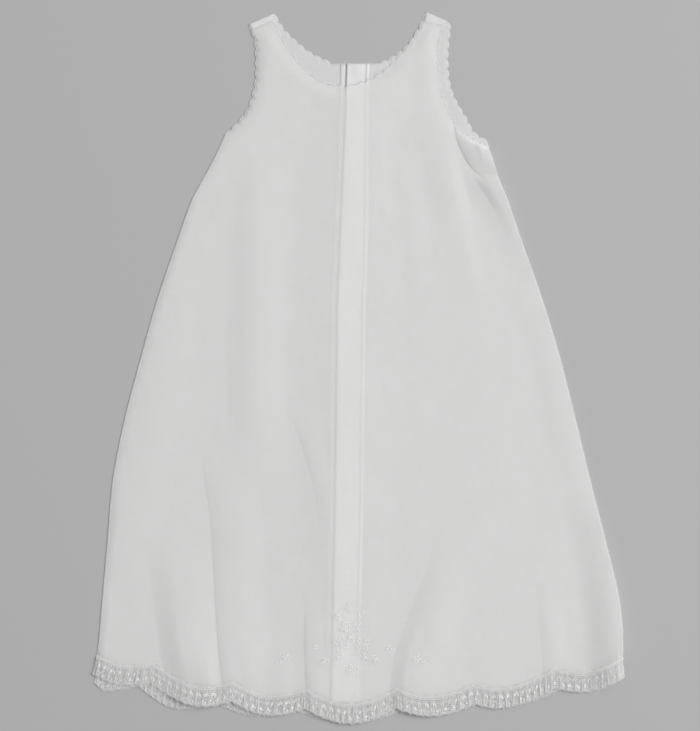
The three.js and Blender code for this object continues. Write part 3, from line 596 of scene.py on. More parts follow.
def thread_material(name, tint, rough, sheen, through, twist):
    """Cotton thread: twisted strands, soft sheen."""
    m, t, out = start(name)
    co = node(t, "ShaderNodeTexCoord")
    bsdf = node(t, "ShaderNodeBsdfPrincipled")
    put(bsdf, Roughness=rough)
    bsdf.inputs["Specular IOR Level"].default_value = 0.25
    bsdf.inputs["Sheen Weight"].default_value = sheen
    nz = put(node(t, "ShaderNodeTexNoise"), Scale=420.0, Detail=2.0, Roughness=0.6)
    t.links.new(co.outputs["Object"], nz.inputs["Vector"])
    ramp = node(t, "ShaderNodeValToRGB")
    ramp.color_ramp.elements[0].position = 0.25
    ramp.color_ramp.elements[0].color = [c * 0.92 for c in tint] + [1]
    ramp.color_ramp.elements[1].position = 0.75
    ramp.color_ramp.elements[1].color = [min(1, c * 1.02) for c in tint] + [1]
    t.links.new(nz.outputs["Fac"], ramp.inputs["Fac"])
    t.links.new(ramp.outputs["Color"], bsdf.inputs["Base Color"])
    wv = node(t, "ShaderNodeTexWave", wave_type="BANDS", bands_direction="DIAGONAL", wave_profile="SIN")
    put(wv, Scale=twist, Distortion=1.5, Detail=1.0)
    t.links.new(co.outputs["Object"], wv.inputs["Vector"])
    bump = put(node(t, "ShaderNodeBump"), Strength=0.3, Distance=0.00005)
    t.links.new(wv.outputs["Fac"], bump.inputs["Height"])
    t.links.new(bump.outputs["Normal"], bsdf.inputs["Normal"])
    glow = put(node(t, "ShaderNodeBsdfTranslucent"), Color=(*tint, 1))
    blend = node(t, "ShaderNodeMixShader")
    blend.inputs[0].default_value = through
    t.links.new(bsdf.outputs[0], blend.inputs[1])
    t.links.new(glow.outputs[0], blend.inputs[2])
    t.links.new(blend.outputs[0], out.inputs["Surface"])
    return m


LAWN = lawn_material("fine_white_lawn", (0.99, 0.99, 0.985), 0.28, 0.15)
FACING_LAWN = lawn_material("fine_white_lawn_turned", (0.99, 0.99, 0.985), 0.72, 0.15)
BACK_LAWN = lawn_material("fine_white_lawn_back", (0.99, 0.99, 0.985), 0.50, 0.15)
LACE = thread_material("lace_thread", (0.87, 0.87, 0.865), 0.85, 0.1, 0.18, 500)
FLOSS = thread_material("embroidery_thread", (0.92, 0.92, 0.915), 0.6, 0.12, 0.08, 700)
HEM_THREAD = thread_material("hem_thread", (0.98, 0.98, 0.975), 0.6, 0.12, 0.1, 700)
RIM = thread_material("edge_thread", (0.88, 0.88, 0.875), 0.7, 0.1, 0.15, 700)


def dress(ob, slot, *nodes):
    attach(ob, "root")
    if nodes:
        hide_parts(*nodes)
    return ob


# ---------------------------------------------------------------- outlines
def col(k):
    return [(r[k], r[0]) for r in ARMHOLES]


EDGES = []  # worked edges: run, outward normals, place in the scallop, height under it


def joined(*runs):
    p = np.vstack(runs)
    keep = np.ones(len(p), bool)
    for i in range(1, len(p)):
        if np.hypot(*(p[i] - p[i - 1])) < 0.12:
            keep[i] = False
    p = p[keep]
    return p[:-1] if np.hypot(*(p[0] - p[-1])) < 0.12 else p


def line(a, b, step):
    n = max(1, round(math.dist(a, b) / step))
    return np.linspace(a, b, n + 1)[:-1]


def hem_run(hem, x0, x1, step=0.9):
    x = np.linspace(x0, x1, 4000)
    return resample(np.stack([x, hem_y(hem, x)], 1), step)[0]


SL, SR = SHOULDER["left"], SHOULDER["right"]
e_fr = scalloped([UNDERARM["front_right"], UNDERARM_TURN["front_right"], *col(3)[::-1], SR["seam_out"]])
e_fn = scalloped([SR["seam_in"], *NECK_FRONT[::-1], SL["seam_in"]])
e_fl = scalloped([SL["seam_out"], *col(1), UNDERARM["front_left"]])
e_bnl = scalloped([(-24, NECK_BACK_TOP), *NECK_BACK_LEFT[::-1], SL["fold_in"]])
e_bl = scalloped([SL["fold_out"], SL["seam_out"], *col(2), UNDERARM["back_left"]])
e_br = scalloped([UNDERARM["back_right"], UNDERARM_TURN["back_right"], *col(4)[::-1], (78, 291), SR["fold_out"]])
e_bnr = scalloped([SR["fold_in"], *NECK_BACK_RIGHT[::-1], (17, NECK_BACK_TOP)])

FREE_EDGE = np.vstack([e[2][::6] for e in (e_fr, e_fn, e_fl)] + [np.linspace(k["seam_out"], k["seam_in"], 9) for k in (SL, SR)])

front_hem = hem_run(HEM_FRONT, HEM_FRONT[0][0], HEM_FRONT[-1][0])
front_outline = joined(
    smooth([UNDERARM["front_left"]] + [(l, y) for y, l, r in SIDES] + [HEM_FRONT[0][:2]], 2.2),
    front_hem,
    smooth([HEM_FRONT[-1][:2]] + [(r, y) for y, l, r in SIDES[::-1]] + [UNDERARM["front_right"]], 2.2),
    e_fr[0],
    line(SR["seam_out"], SR["seam_in"], 1.5),
    e_fn[0],
    line(SL["seam_in"], SL["seam_out"], 1.5),
    e_fl[0],
)
cb_hem = CENTRE_BACK[-1][1]
left_hem = hem_run(HEM_BACK, HEM_BACK[0][0], cb_hem + LEFT_LAP, 1.2)
right_hem = hem_run(HEM_BACK, cb_hem, HEM_BACK[-1][0], 1.2)
left_top = (CENTRE_BACK[0][1] + LEFT_LAP, NECK_BACK_TOP)
right_top = (CENTRE_BACK[0][1], NECK_BACK_TOP)


def lap_edge(u):
    """Upright edge of a back half, just above the hem to just below the neck."""
    y = np.linspace(CENTRE_BACK[-1][0], NECK_BACK_TOP, 190)[1:-1]
    return np.stack([centre_back(y) + u, y], 1)


left_outline = joined(
    smooth([UNDERARM["back_left"]] + [(l, y) for y, l, r in SIDES] + [HEM_BACK[0][:2]], 2.4),
    left_hem,
    lap_edge(LEFT_LAP),
    line(left_top, (-24, NECK_BACK_TOP), 1.5),
    e_bnl[0],
    line(SL["fold_in"], SL["fold_out"], 1.5),
    e_bl[0],
)
right_outline = joined(
    np.array([right_top]),
    lap_edge(0.0)[::-1],
    right_hem,
    smooth([HEM_BACK[-1][:2]] + [(r, y) for y, l, r in SIDES[::-1]] + [UNDERARM["back_right"]], 2.4),
    e_br[0],
    line(SR["fold_out"], SR["fold_in"], 1.5),
    e_bnr[0],
    line((17, NECK_BACK_TOP), right_top, 1.5),
)

# ---------------------------------------------------------------- front panel
inner = inside_rows(front_outline, GRID_FRONT)
crease = []
clear = np.ones(len(inner), bool)
for fold, curve, lift in FOLD_CURVES:
    if fold["kind"] != "kink":
        continue
    d, h = fold_distance(curve, lift, inner[:, 0], inner[:, 1])
    clear &= ~((d > -2.0) & (d < 2.8) & (h > 0.2))
    n = normals_right(curve)
    n = np.where(n[:, :1] < 0, -n, n)
    for off in (-1.3, -0.5, -0.1, 0.3, 0.75, 1.3, 2.1):
        pts = (curve + n * off)[lift > 0.2]
        crease.append(pts)
crease = np.vstack(crease)
ok = np.array([((front_outline - p) ** 2).sum(1).min() > 1.2 for p in crease])
beside = []
for side, sign, offs in ((SIDE_LEFT, 1, (0.6, 1.5, 2.8)), (SIDE_RIGHT, -1, (0.2, 0.5, 1.0, 1.9))):
    n = normals_right(side)
    n = np.where(np.sign(n[:, :1]) == sign, n, -n)
    for off in offs:
        beside.append((side + n * off)[2:-2])
beside = np.vstack(beside)
for i in range(0, len(inner), 4000):
    d = ((inner[i : i + 4000, None, :] - beside[None, :, :]) ** 2).sum(2).min(1)
    clear[i : i + 4000] &= d > 1.0
crease = np.vstack([crease, beside])
ok = np.concatenate([ok, [((front_outline - p) ** 2).sum(1).min() > 0.02 for p in beside]])
a, b = front_outline, np.roll(front_outline, -1, 0)
for i, p in enumerate(crease):
    if ok[i]:
        hit = (a[:, 1] > p[1]) != (b[:, 1] > p[1])
        xs = a[hit, 0] + (p[1] - a[hit, 1]) / (b[hit, 1] - a[hit, 1]) * (b[hit, 0] - a[hit, 0])
        ok[i] = (xs > p[0]).sum() % 2 == 1
co, tris = triangulate(front_outline, np.vstack([inner[clear], crease[ok]]))
co3, faces = shell(co, z_front(co[:, 0], co[:, 1]), tris, CLOTH)
front = dress(add_mesh("front_cloth", co3, faces, LAWN), "lawn", "front_panel")

# ---------------------------------------------------------------- back halves
def shoulder_roll(soup, s, z_low, z_high):
    """The back's strap folded over the top and down to the shoulder seam."""
    rows = []
    fo, fi, so, si = (np.array(s[k]) for k in ("fold_out", "fold_in", "seam_out", "seam_in"))
    for f in np.linspace(0, 1, 9):
        top = mix(fo, fi, f)
        seam = mix(so, si, f)
        down = (seam - top) / np.hypot(*(seam - top))
        r = (z_high - z_low) / 2
        row = []
        for w in np.linspace(0, np.pi, 7):
            p = top + down * (r - r * math.sin(w))
            row.append((*p, (z_low + z_high) / 2 - r * math.cos(w)))
        for g in np.linspace(0.25, 1, 4):
            p = mix(top + down * r, seam + down * 1.4, g)
            row.append((*p, mix(z_high, z_high - 0.2, g)))
        rows.append(row)
    strip(soup, rows, CLOTH)


def facing_rows(u0, u1, y_top, hem, z, steps_u, spread=0.0):
    rows = []
    for f in np.linspace(0, 1, 150):
        row = []
        for u in np.linspace(u0, u1, steps_u):
            x_hem = cb_hem + u
            y = mix(y_top, float(hem_y(hem, np.array([x_hem]))[0]), f)
            x = float(centre_back(y)) + u * (1 + spread * float(smoothstep((251 - y) / 170)))
            row.append((x, y, float(z(x, y))))
        rows.append(row)
    return rows


left_soup = Soup()
co, tris = triangulate(left_outline, inside_rows(left_outline, GRID_BACK))
lco, lfaces = shell(co, z_back_left(co[:, 0], co[:, 1]), tris, CLOTH)
left_soup.co.append(lco)
left_soup.faces.extend(lfaces)
left_soup.n += len(lco)
def left_facing_z(x, y):
    u = x - float(centre_back(y))
    puff = math.sin(math.pi * min(1, max(0, (u - LEFT_FACING_FROM) / 4.0)))
    near_neck = float(smoothstep((y - 225) / 14))
    return Z_LEFT_FACING + near_neck * (0.3 * puff - 0.1 * (abs(u + 0.6) < 0.7))


strip(left_soup, facing_rows(LEFT_FACING_FROM, LEFT_FACING_FROM + 5.6, NECK_BACK_TOP - 0.2, HEM_BACK, left_facing_z, 12), CLOTH)
strip(left_soup, facing_rows(LEFT_FACING_FROM + 5.7, LEFT_LAP, NECK_BACK_TOP - 0.2, HEM_BACK, lambda x, y: Z_LEFT_FACING, 5), CLOTH)
shoulder_roll(left_soup, SL, Z_BACK, 0.56)

right_soup = Soup()
co, tris = triangulate(right_outline, inside_rows(right_outline, GRID_BACK))
rco, rfaces = shell(co, z_back_right(co[:, 0], co[:, 1]), tris, CLOTH)
right_soup.co.append(rco)
right_soup.faces.extend(rfaces)
right_soup.n += len(rco)
lift_r = lambda x, y: float(z_back_right(np.array([x]), np.array([y]))[0]) + Z_RIGHT_FACING - Z_RIGHT_LAP
facing_from = len(right_soup.faces)
strip(right_soup, facing_rows(0.12, RIGHT_FACING, NECK_BACK_TOP - 0.2, HEM_BACK, lift_r, 14, FACING_SPREAD), CLOTH)
for k in range(2):
    strip(right_soup, facing_rows(RIGHT_FACING - 2.6, RIGHT_FACING - 0.1, NECK_BACK_TOP - 0.2, HEM_BACK, lambda x, y: lift_r(x, y) + 0.13 + 0.13 * k, 4, FACING_SPREAD), CLOTH * 0.5)
facing_to = len(right_soup.faces)
shoulder_roll(right_soup, SR, Z_BACK, 0.56)


def seam_allowance(soup, side, sign, width, z, count):
    """Narrow turned seam inside a side edge."""
    n = normals_right(side)
    n = np.where(np.sign(n[:, :1]) == sign, -n, n)
    for k in range(count):
        rows = [np.column_stack([side + n * (0.4 + width * f), np.full(len(side), z + 0.12 * k)]) for f in np.linspace(0, 1, 4)]
        strip(soup, np.array(rows), CLOTH * 0.8)


seam_allowance(left_soup, SIDE_LEFT[3:-2], -1, 1.2, 0.3, 1)
seam_allowance(right_soup, SIDE_RIGHT[3:-2], 1, 1.2, 0.3, 1)
back_left = dress(left_soup.make("back_left_cloth", BACK_LAWN), "lawn", "back_left")
back_right = dress(right_soup.make("back_right_cloth", BACK_LAWN), "lawn", "back_right")
back_right.data.materials.append(FACING_LAWN)
which = np.zeros(len(back_right.data.polygons), np.int32)
which[facing_from:facing_to] = 1
back_right.data.polygons.foreach_set("material_index", which)

# ---------------------------------------------------------------- worked scallop edges
def worked_edge(soup, edge, base_z):
    """Close buttonhole stitches over the scallops, with the purl along the rim."""
    run, n, base, f = edge
    fine, s = resample(run, 0.46)
    nn = normals_right(fine)
    near = np.array([((run - p) ** 2).sum(1).argmin() for p in fine])
    depth = 0.35 + 0.35 * np.sin(np.pi * f[near])
    jitter = 0.06 * RNG.standard_normal(len(fine))
    a = fine + nn * 0.04
    b = fine - nn * (depth + jitter)[:, None]
    stitches(soup, a, b, 0.2, 0.0, lambda x, y: base_z(x, y) + 0.09, sides=4, rings=3, flat=0.22)
    cord(soup, np.column_stack([fine + nn * 0.04, base_z(fine[:, 0], fine[:, 1]) + 0.04]), 0.13, 5)


edges_front = Soup()
for e in (e_fr, e_fn, e_fl):
    worked_edge(edges_front, e, z_front)
edging_front = dress(edges_front.make("front_scallop_stitches", RIM), "lawn")
edges_back = Soup()
for e, z in ((e_bnl, z_back_left), (e_bl, z_back_left), (e_br, z_back_right), (e_bnr, z_back_right)):
    worked_edge(edges_back, e, z)
edging_back = dress(edges_back.make("back_scallop_stitches", RIM), "lawn")

# ---------------------------------------------------------------- rolled and whipped hem
def whipped_hem(soup, run, base_z):
    """Rolled edge with a row of pin stitches that catch the lace's heading to it."""
    fine, s = resample(run, 0.8)
    z = base_z(fine[:, 0], fine[:, 1])
    cord(soup, np.column_stack([fine, z + 0.02]), 0.2, 6)
    knots, _ = resample(run, 1.55)
    n = normals_right(knots)
    t = np.stack([-n[:, 1], n[:, 0]], 1)
    wob = 0.12 * RNG.standard_normal((len(knots), 1))
    stitches(soup, knots - n * (1.45 + wob) + t * 0.15, knots + n * 0.75 - t * 0.15, 0.34, 0.06, lambda x, y: base_z(x, y) + 0.12, sides=5, rings=4, flat=0.36)


hem_soup = Soup()
whipped_hem(hem_soup, front_hem, z_front)
hem_front = dress(hem_soup.make("front_hem_stitches", HEM_THREAD), "lawn")
hem_soup = Soup()
whipped_hem(hem_soup, left_hem, z_back_left)
whipped_hem(hem_soup, right_hem, z_back_right)
hem_back = dress(hem_soup.make("back_hem_stitches", HEM_THREAD), "lawn")

# ---------------------------------------------------------------- gathered lace
GATHER = 1.4  # length of lace to the length of hem it is gathered on
GATHER_PITCH = 9.6


class Lace:
    """Net edging in its own flat frame (u along, v down from the heading), laid in gathers under a hem run."""

    def __init__(self, run, base_z, height, seed, calm=None, fall=0.0):
        self.fall = fall
        self.run, self.s = resample(run, 0.4)
        self.length = self.s[-1]
        self.flat = self.length * GATHER
        self.base_z, self.height, self.seed, self.calm = base_z, height, seed, calm

    def phase(self, u):
        zero = np.zeros_like(u)
        return 2 * np.pi * (u / GATHER_PITCH + 0.55 * noise2(u, zero, 31, 1, self.seed) + 0.2 * noise2(u, zero, 11, 1, self.seed + 1))

    def place(self, u, v, off=0.0):
        u, v = np.asarray(u, float), np.asarray(v, float)
        ph = self.phase(u)
        k = 0.4 + 0.6 * smoothstep(v / (0.55 * LACE_DEPTH))
        big = 0.75 + 0.45 * noise2(u, np.zeros_like(u), 23, 1, self.seed + 2)
        s = np.clip(u / GATHER + 0.5 * k * big * np.sin(ph), 0, self.length)
        x, y = np.interp(s, self.s, self.run[:, 0]), np.interp(s, self.s, self.run[:, 1])
        lean = np.where(x < 0, LACE_FAN["left"], LACE_FAN["right"]) * x / 226
        drop = v * (1 + 0.035 * np.sin(ph + 0.9)) + 0.2
        wave = 0.5 - 0.5 * np.cos(ph - 0.6)
        fine = 0.16 * np.sin(2 * np.pi * u / 3.7 + 2.0 * noise2(u, v, 13, 9, self.seed + 3))
        z = self.base_z(x, y) - self.fall * v / LACE_DEPTH + self.height * k * (big * wave + fine) + off
        if self.calm is not None:
            calm = self.calm(x)
            z = z * 1.0 - self.height * k * big * wave * calm
        return np.stack([x + np.sin(lean) * drop, y - np.cos(lean) * drop, z], -1)

    def ribbons(self, soup, ua, va, ub, vb, width, lift=0.0):
        """Short flat threads between two flat points each, with a raised middle."""
        pa, pb = self.place(ua, va, lift), self.place(ub, vb, lift)
        d = pb - pa
        d /= np.maximum(np.linalg.norm(d, axis=1), 1e-6)[:, None]
        up = np.zeros_like(d)
        up[:, 2] = 1
        side = np.cross(d, up)
        side[np.linalg.norm(side, axis=1) < 0.2] = (1, 0, 0)
        side /= np.linalg.norm(side, axis=1)[:, None]
        top = np.cross(side, d)
        w = width / 2
        ring = [side * w, top * w * 0.7, -side * w]
        pa, pb = pa - d * w * 0.5, pb + d * w * 0.5
        co = np.stack([pa + r for r in ring] + [pb + r for r in ring], 1)
        quads = np.array([[0, 1, 4, 3], [1, 2, 5, 4]])
        allq = (quads[None] + (np.arange(len(pa)) * 6)[:, None, None]).reshape(-1, 4)
        soup.add(co.reshape(-1, 3), allq[:, ::-1])

    def net(self, soup, cell, width):
        a = cell / math.sqrt(3)
        v0, v1 = 1.6, LACE_DEPTH - 1.6
        rows = int((v1 - v0) / (1.5 * a))
        cols = int(self.flat / cell)
        e = []
        for r in range(rows + 1):
            v = v0 + r * 1.5 * a
            sh = 0.5 * cell * (r % 2)
            u = np.arange(cols) * cell + sh
            # zigzag of this row, then the uprights to the next
            e.append((u, np.full(cols, v), u + cell / 2, np.full(cols, v + a / 2)))
            e.append((u + cell / 2, np.full(cols, v + a / 2), u + cell, np.full(cols, v)))
            if r < rows:
                e.append((u + cell / 2, np.full(cols, v + a / 2), u + cell / 2, np.full(cols, v + 1.5 * a)))
        ua, va, ub, vb = (np.concatenate([x[i] for x in e]) for i in range(4))
        keep = (ub < self.flat) & (ua < self.flat)
        self.ribbons(soup, ua[keep], va[keep], ub[keep], vb[keep], width)

    def patch(self, soup, u, v, ru, rv, turn, lift):
        """Dense cloth-work motif: a small dome of close threads."""
        k, rings = 10, 3
        co, faces = [], []
        ang = np.linspace(0, 2 * np.pi, k, endpoint=False)
        pts = [(0.0, 0.0, 1.0)] + [(r * math.cos(w), r * math.sin(w), math.sqrt(max(0, 1 - r * r))) for r in np.linspace(1 / rings, 1, rings) for w in ang]
        p = np.array(pts)
        du = p[:, 0] * ru * math.cos(turn) - p[:, 1] * rv * math.sin(turn)
        dv = p[:, 0] * ru * math.sin(turn) + p[:, 1] * rv * math.cos(turn)
        uu = np.clip(u + du, 0, self.flat)
        world = self.place(uu, np.clip(v + dv, 0, LACE_DEPTH))
        world[:, 2] += 0.12 + lift * p[:, 2]
        for i in range(k):
            faces.append([0, 1 + i, 1 + (i + 1) % k, 1 + (i + 1) % k])
        tri = [[0, 1 + (i + 1) % k, 1 + i] for i in range(k)]
        quad = []
        for r in range(rings - 1):
            for i in range(k):
                j = (i + 1) % k
                q = [1 + r * k + i, 1 + r * k + j, 1 + (r + 1) * k + j, 1 + (r + 1) * k + i]
                quad.append(q)
        n = soup.n
        soup.co.append(world)
        soup.faces.extend([[a + n for a in f] for f in tri + quad])
        soup.n += len(world)

    def edge_cord(self, soup, v_of, radius, step=0.9, sides=4):
        u = np.arange(0, self.flat, step)
        cord(soup, self.place(u, v_of(u)), radius, sides)

    def build(self, soup, cell=1.95, width=0.62):
        self.net(soup, cell, width)
        scal = lambda u: LACE_DEPTH - 0.9 + 0.75 * np.abs(np.sin(np.pi * u / 5.2))
        self.edge_cord(soup, scal, 0.24)
        self.edge_cord(soup, lambda u: scal(u) - 1.1, 0.2)
        self.edge_cord(soup, lambda u: np.full_like(u, 0.5), 0.22)
        self.edge_cord(soup, lambda u: np.full_like(u, 1.5), 0.2)
        # bars of the heading and the picots of the free edge
        u = np.arange(0.4, self.flat - 0.4, 1.2)
        self.ribbons(soup, u, np.full_like(u, 0.5), u, np.full_like(u, 1.5), 0.5)
        u = np.arange(0.8, self.flat - 1.2, 2.6)
        for du0, dv0, du1, dv1 in ((-0.55, 0.0, -0.4, 0.7), (-0.4, 0.7, 0.4, 0.7), (0.4, 0.7, 0.55, 0.0)):
            self.ribbons(soup, u + du0, scal(u) + dv0, u + du1, scal(u) + dv1, 0.42)
        u = np.arange(0.65, self.flat - 0.8, 1.3)
        self.ribbons(soup, u, scal(u) - 1.1, u, scal(u), 0.5)
        # two rows of little leaves and dots
        pitch = 9.2
        for i in range(int(self.flat / pitch)):
            c = (i + 0.5) * pitch
            if c + pitch / 2 + 2 > self.flat:
                break
            for turn, dx in ((0.5, -1.3), (-0.5, 1.3)):
                self.patch(soup, c + dx, 0.40 * LACE_DEPTH, 1.0, 1.9, turn, 0.18)
            self.patch(soup, c, 0.24 * LACE_DEPTH, 0.8, 0.8, 0, 0.15)
            self.patch(soup, c + pitch / 2, 0.34 * LACE_DEPTH, 0.75, 0.75, 0, 0.15)
            self.patch(soup, c + pitch / 2, 0.70 * LACE_DEPTH, 1.15, 1.75, 0, 0.2)
            self.patch(soup, c + pitch / 2 - 1.9, 0.76 * LACE_DEPTH, 0.8, 1.2, -0.6, 0.16)
            self.patch(soup, c + pitch / 2 + 1.9, 0.76 * LACE_DEPTH, 0.8, 1.2, 0.6, 0.16)
            self.patch(soup, c, 0.80 * LACE_DEPTH, 0.75, 0.75, 0, 0.15)


def lace_piece(name, run, base_z, height, seed, node_name, calm=None, fall=0.0):
    soup = Soup()
    l = Lace(run, base_z, height, seed, calm, fall)
    l.build(soup)
    ob = dress(soup.make(name, LACE), "lace", node_name)
    return ob, l


def z_lace_front(x, y):
    return np.maximum(1.4, z_front(x, y + 0.6) - 0.12)


lap_hem = lambda x: 1 - smoothstep((np.asarray(x) - cb_hem - LEFT_LAP) / 14)
front_lace, fl = lace_piece("front_lace_net", front_hem, z_lace_front, 0.8, 11, "front_lace", fall=0.6)
left_lace, ll = lace_piece("back_left_lace_net", left_hem, lambda x, y: 0 * x + 0.25, 0.6, 31, "back_left_lace", lambda x: smoothstep((x - cb_hem + 6) / 6))
right_lace, rl = lace_piece("back_right_lace_net", right_hem, lambda x, y: 0.25 + 0.5 * lap_hem(x), 0.6, 47, "back_right_lace", lambda x: 0.7 * lap_hem(x))

# ---------------------------------------------------------------- whitework spray on the front
spray = Soup()
Z_SPRAY = lambda x, y: z_front(x, y) + 0.1


def satin(path, width, step=0.34, radius=0.2, arch=0.07, slant=0.0):
    """Close stitches laid across a path, width(f) wide, f from 0 to 1 along it."""
    p, s = resample(path, step)
    n = normals_right(p)
    d = np.stack([-n[:, 1], n[:, 0]], 1)
    w = np.array([width(f) for f in np.linspace(0, 1, len(p))])
    off = n * (w / 2)[:, None] + d * (slant * w / 2)[:, None]
    stitches(spray, p - off, p + off, radius, arch, Z_SPRAY, sides=4, rings=4, flat=0.36)


def leaf(x, y, angle, length, width):
    a = math.radians(angle)
    f = np.linspace(0, 1, 12)
    bow = 0.1 * length * np.sin(np.pi * f)
    px = x + np.cos(a) * f * length - np.sin(a) * bow
    py = y + np.sin(a) * f * length + np.cos(a) * bow
    satin(np.stack([px, py], 1), lambda g: 0.25 + width * math.sin(math.pi * min(1, g * 0.95 + 0.03)) ** 0.8, slant=0.5)


def stem(points, width=0.4):
    p = smooth(points, 0.9)
    d = np.diff(p, axis=0)
    n = np.stack([-d[:, 1], d[:, 0]], 1)
    n /= np.maximum(np.hypot(n[:, 0], n[:, 1]), 1e-6)[:, None]
    stitches(spray, p[:-1] - n * 0.08 - d * 0.25, p[1:] + n * 0.08 + d * 0.25, width / 2, 0.06, Z_SPRAY, sides=4, rings=4, flat=0.4)


def dot(x, y, r):
    w = np.arange(-r, r + 0.01, 0.34)
    half = np.sqrt(np.maximum(r * r - w * w, 0.02))
    a = np.stack([x - half, y + w], 1)
    b = np.stack([x + half, y + w], 1)
    stitches(spray, a, b, 0.22, 0.12, Z_SPRAY, sides=4, rings=4, flat=0.4)


def petal_ring(x, y, angle, reach, size, width=0.72):
    """Open petal: satin worked round a small oval that is left clear in the middle."""
    a = math.radians(angle)
    cx, cy = x + math.cos(a) * reach, y + math.sin(a) * reach
    w = np.linspace(0, 2 * np.pi, 30)
    px = cx + math.cos(a) * 1.08 * size * np.cos(w) - math.sin(a) * 0.88 * size * np.sin(w)
    py = cy + math.sin(a) * 1.08 * size * np.cos(w) + math.cos(a) * 0.88 * size * np.sin(w)
    satin(np.stack([px, py], 1), lambda g: width, step=0.36)


def flower(px, py, span, petals, turn, middle=True):
    x, y = mm(px, py)
    for i in range(petals):
        wob = 8 * math.sin(3.7 * i + px)
        petal_ring(x, y, turn + wob + i * 360 / petals, span * 0.33, span * (0.16 + 0.014 * math.sin(2.3 * i + py)))
    if middle:
        dot(x, y, span * 0.07)


def sprig(px, py, angle, size, leaves):
    """Small stem with a leaf at its tip and others on both sides by turns."""
    x, y = mm(px, py)
    a = math.radians(angle)
    tip = (x + math.cos(a) * size * 0.66, y + math.sin(a) * size * 0.66)
    mid = (x + math.cos(a) * size * 0.33 - math.sin(a) * size * 0.05, y + math.sin(a) * size * 0.33 + math.cos(a) * size * 0.05)
    stem([(x, y), mid, tip], 0.34)
    leaf(*tip, angle + 6, size * 0.42, 0.85)
    for i in range(leaves - 1):
        f = 0.28 + 0.34 * i / max(1, leaves - 2)
        bx, by = x + math.cos(a) * size * f, y + math.sin(a) * size * f
        leaf(bx, by, angle + (-48 if i % 2 else 50), size * 0.4, 0.8)


# two open flowers with a knot of dots between them, two small ones above and one below
flower(341, 644, 13.6, 4, 70)
flower(362.6, 644.4, 12.8, 4, 36)
flower(345.3, 627, 8.6, 4, 20)
flower(357.6, 627, 8.6, 4, 45)
flower(352, 669, 8.0, 5, 250)
for dx, dy, r in ((350, 637, 1.3), (353.3, 640.4, 1.0), (348.2, 640.6, 0.9), (351.8, 634, 0.8)):
    dot(*mm(dx, dy), r)
# sprigs around them
sprig(350.6, 613, 98, 9.2, 3)
sprig(344, 620.5, 138, 8.8, 3)
sprig(358.6, 619.5, 58, 8.8, 3)
sprig(361.5, 651, -58, 8.0, 3)
sprig(369.5, 654, -42, 9.6, 3)
sprig(343, 653.5, 222, 6.6, 3)
sprig(332, 657, 205, 10.0, 4)
for bx, by in ((315.4, 647.6), (389, 648)):
    x, y = mm(bx, by)
    for ang in (100, 215, 335):
        dot(x + 1.7 * math.cos(math.radians(ang)), y + 1.7 * math.sin(math.radians(ang)), 0.72)
for bx, by, turn in ((285.5, 657, 20), (417, 658.5, -25)):
    x, y = mm(bx, by)
    for ang in (20, 92, 164, 236, 308):
        leaf(x + 0.8 * math.cos(math.radians(ang + turn)), y + 0.8 * math.sin(math.radians(ang + turn)), ang + turn, 2.6, 0.9)
    sprig(bx + (4 if turn < 0 else -3), by + 3, -24 if turn < 0 else 212, 5.4, 2)
spray_ob = dress(spray.make("whitework_spray", FLOSS), "lawn")

# ---------------------------------------------------------------- neck button between the laps
def button_mesh():
    soup = Soup()
    prof = [(0.0, 0.62), (0.9, 0.62), (1.6, 0.66), (2.1, 0.8), (2.7, 0.84), (3.1, 0.72), (3.3, 0.45), (3.2, 0.15), (2.8, 0.02), (0.0, 0.0)]
    k = 40
    ang = np.linspace(0, 2 * np.pi, k, endpoint=False)
    rings = [np.stack([BUTTON["x"] + r * np.cos(ang), BUTTON["y"] + r * np.sin(ang), np.full(k, 0.52 + z * 0.42)], 1) for r, z in prof[1:-1]]
    co = np.vstack(rings + [[[BUTTON["x"], BUTTON["y"], 0.52 + 0.62 * 0.42]], [[BUTTON["x"], BUTTON["y"], 0.52]]])
    faces = []
    for r in range(len(rings) - 1):
        for i in range(k):
            j = (i + 1) % k
            faces.append([r * k + i, (r + 1) * k + i, (r + 1) * k + j, r * k + j])
    c0, c1 = len(rings) * k, len(rings) * k + 1
    last = (len(rings) - 1) * k
    for i in range(k):
        j = (i + 1) % k
        faces.append([c0, i, j, j][:3])
        faces.append([c1, last + j, last + i])
    soup.co.append(co)
    soup.faces.extend(faces)
    soup.n += len(co)
    return soup


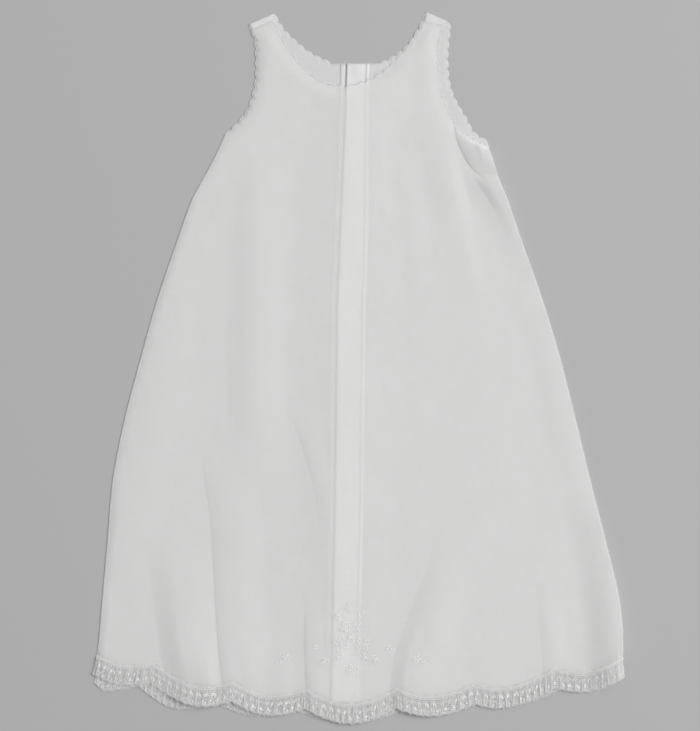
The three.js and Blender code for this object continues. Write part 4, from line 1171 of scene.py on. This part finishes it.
m, t, out = start("button_shell")
bs = node(t, "ShaderNodeBsdfPrincipled")
put(bs, Roughness=0.28)
nz = put(node(t, "ShaderNodeTexNoise"), Scale=500.0, Detail=3.0)
rp = node(t, "ShaderNodeValToRGB")
rp.color_ramp.elements[0].color = (0.80, 0.79, 0.76, 1)
rp.color_ramp.elements[1].color = (0.90, 0.89, 0.87, 1)
t.links.new(nz.outputs["Fac"], rp.inputs["Fac"])
t.links.new(rp.outputs["Color"], bs.inputs["Base Color"])
t.links.new(bs.outputs[0], out.inputs["Surface"])
button = dress(button_mesh().make("neck_button_disc", m), "button", "neck_button")

# ---------------------------------------------------------------- floor, light, camera
fm, ft, fo = start("plain_floor")
fb = node(ft, "ShaderNodeBsdfPrincipled")
put(fb, Roughness=0.95)
fb.inputs["Specular IOR Level"].default_value = 0.1
fb.inputs["Base Color"].default_value = (0.47, 0.47, 0.47, 1)
ft.links.new(fb.outputs[0], fo.inputs["Surface"])
me = bpy.data.meshes.new("floor")
me.from_pydata([(-4, -4, 0), (4, -4, 0), (4, 4, 0), (-4, 4, 0)], [], [(0, 1, 2, 3)])
me.materials.append(fm)
floor = bpy.data.objects.new("floor", me)
floor.location.z = -0.0001
bpy.context.scene.collection.objects.link(floor)

world = bpy.data.worlds.new("studio")
bpy.context.scene.world = world
world.use_nodes = True
bg = world.node_tree.nodes["Background"]
bg.inputs["Color"].default_value = (1, 1, 1, 1)
bg.inputs["Strength"].default_value = 0.40


def area_light(name, place, target, size, power):
    d = bpy.data.lights.new(name, "AREA")
    d.shape = "SQUARE"
    d.size = size
    d.energy = power
    o = bpy.data.objects.new(name, d)
    o.location = place
    o.rotation_euler = (Vector(target) - Vector(place)).to_track_quat("-Z", "Y").to_euler()
    bpy.context.scene.collection.objects.link(o)
    return o


area_light("key", (5.2, 2.0, 4.4), (0, 0, 0), 4.0, 470)

cam_d = bpy.data.cameras.new("camera")
cam = bpy.data.objects.new("camera", cam_d)
DISTANCE = 2.6
view_x, view_y = mm(350, 365.5)
cam.location = ((view_x + SHIFT[0]) / 1000, (view_y + SHIFT[1]) / 1000, DISTANCE)
cam.rotation_euler = (0, 0, 0)
cam_d.sensor_width = 36
cam_d.lens = 36 * (DISTANCE - 0.0015) / (731 * PX / 1000)
cam_d.clip_end = 50
bpy.context.scene.collection.objects.link(cam)
bpy.context.scene.camera = cam

sc = bpy.context.scene
sc.view_settings.view_transform = "Standard"
sc.cycles.transparent_max_bounces = 24
sc.cycles.max_bounces = 10
sc.cycles.diffuse_bounces = 7
sc.cycles.transmission_bounces = 8
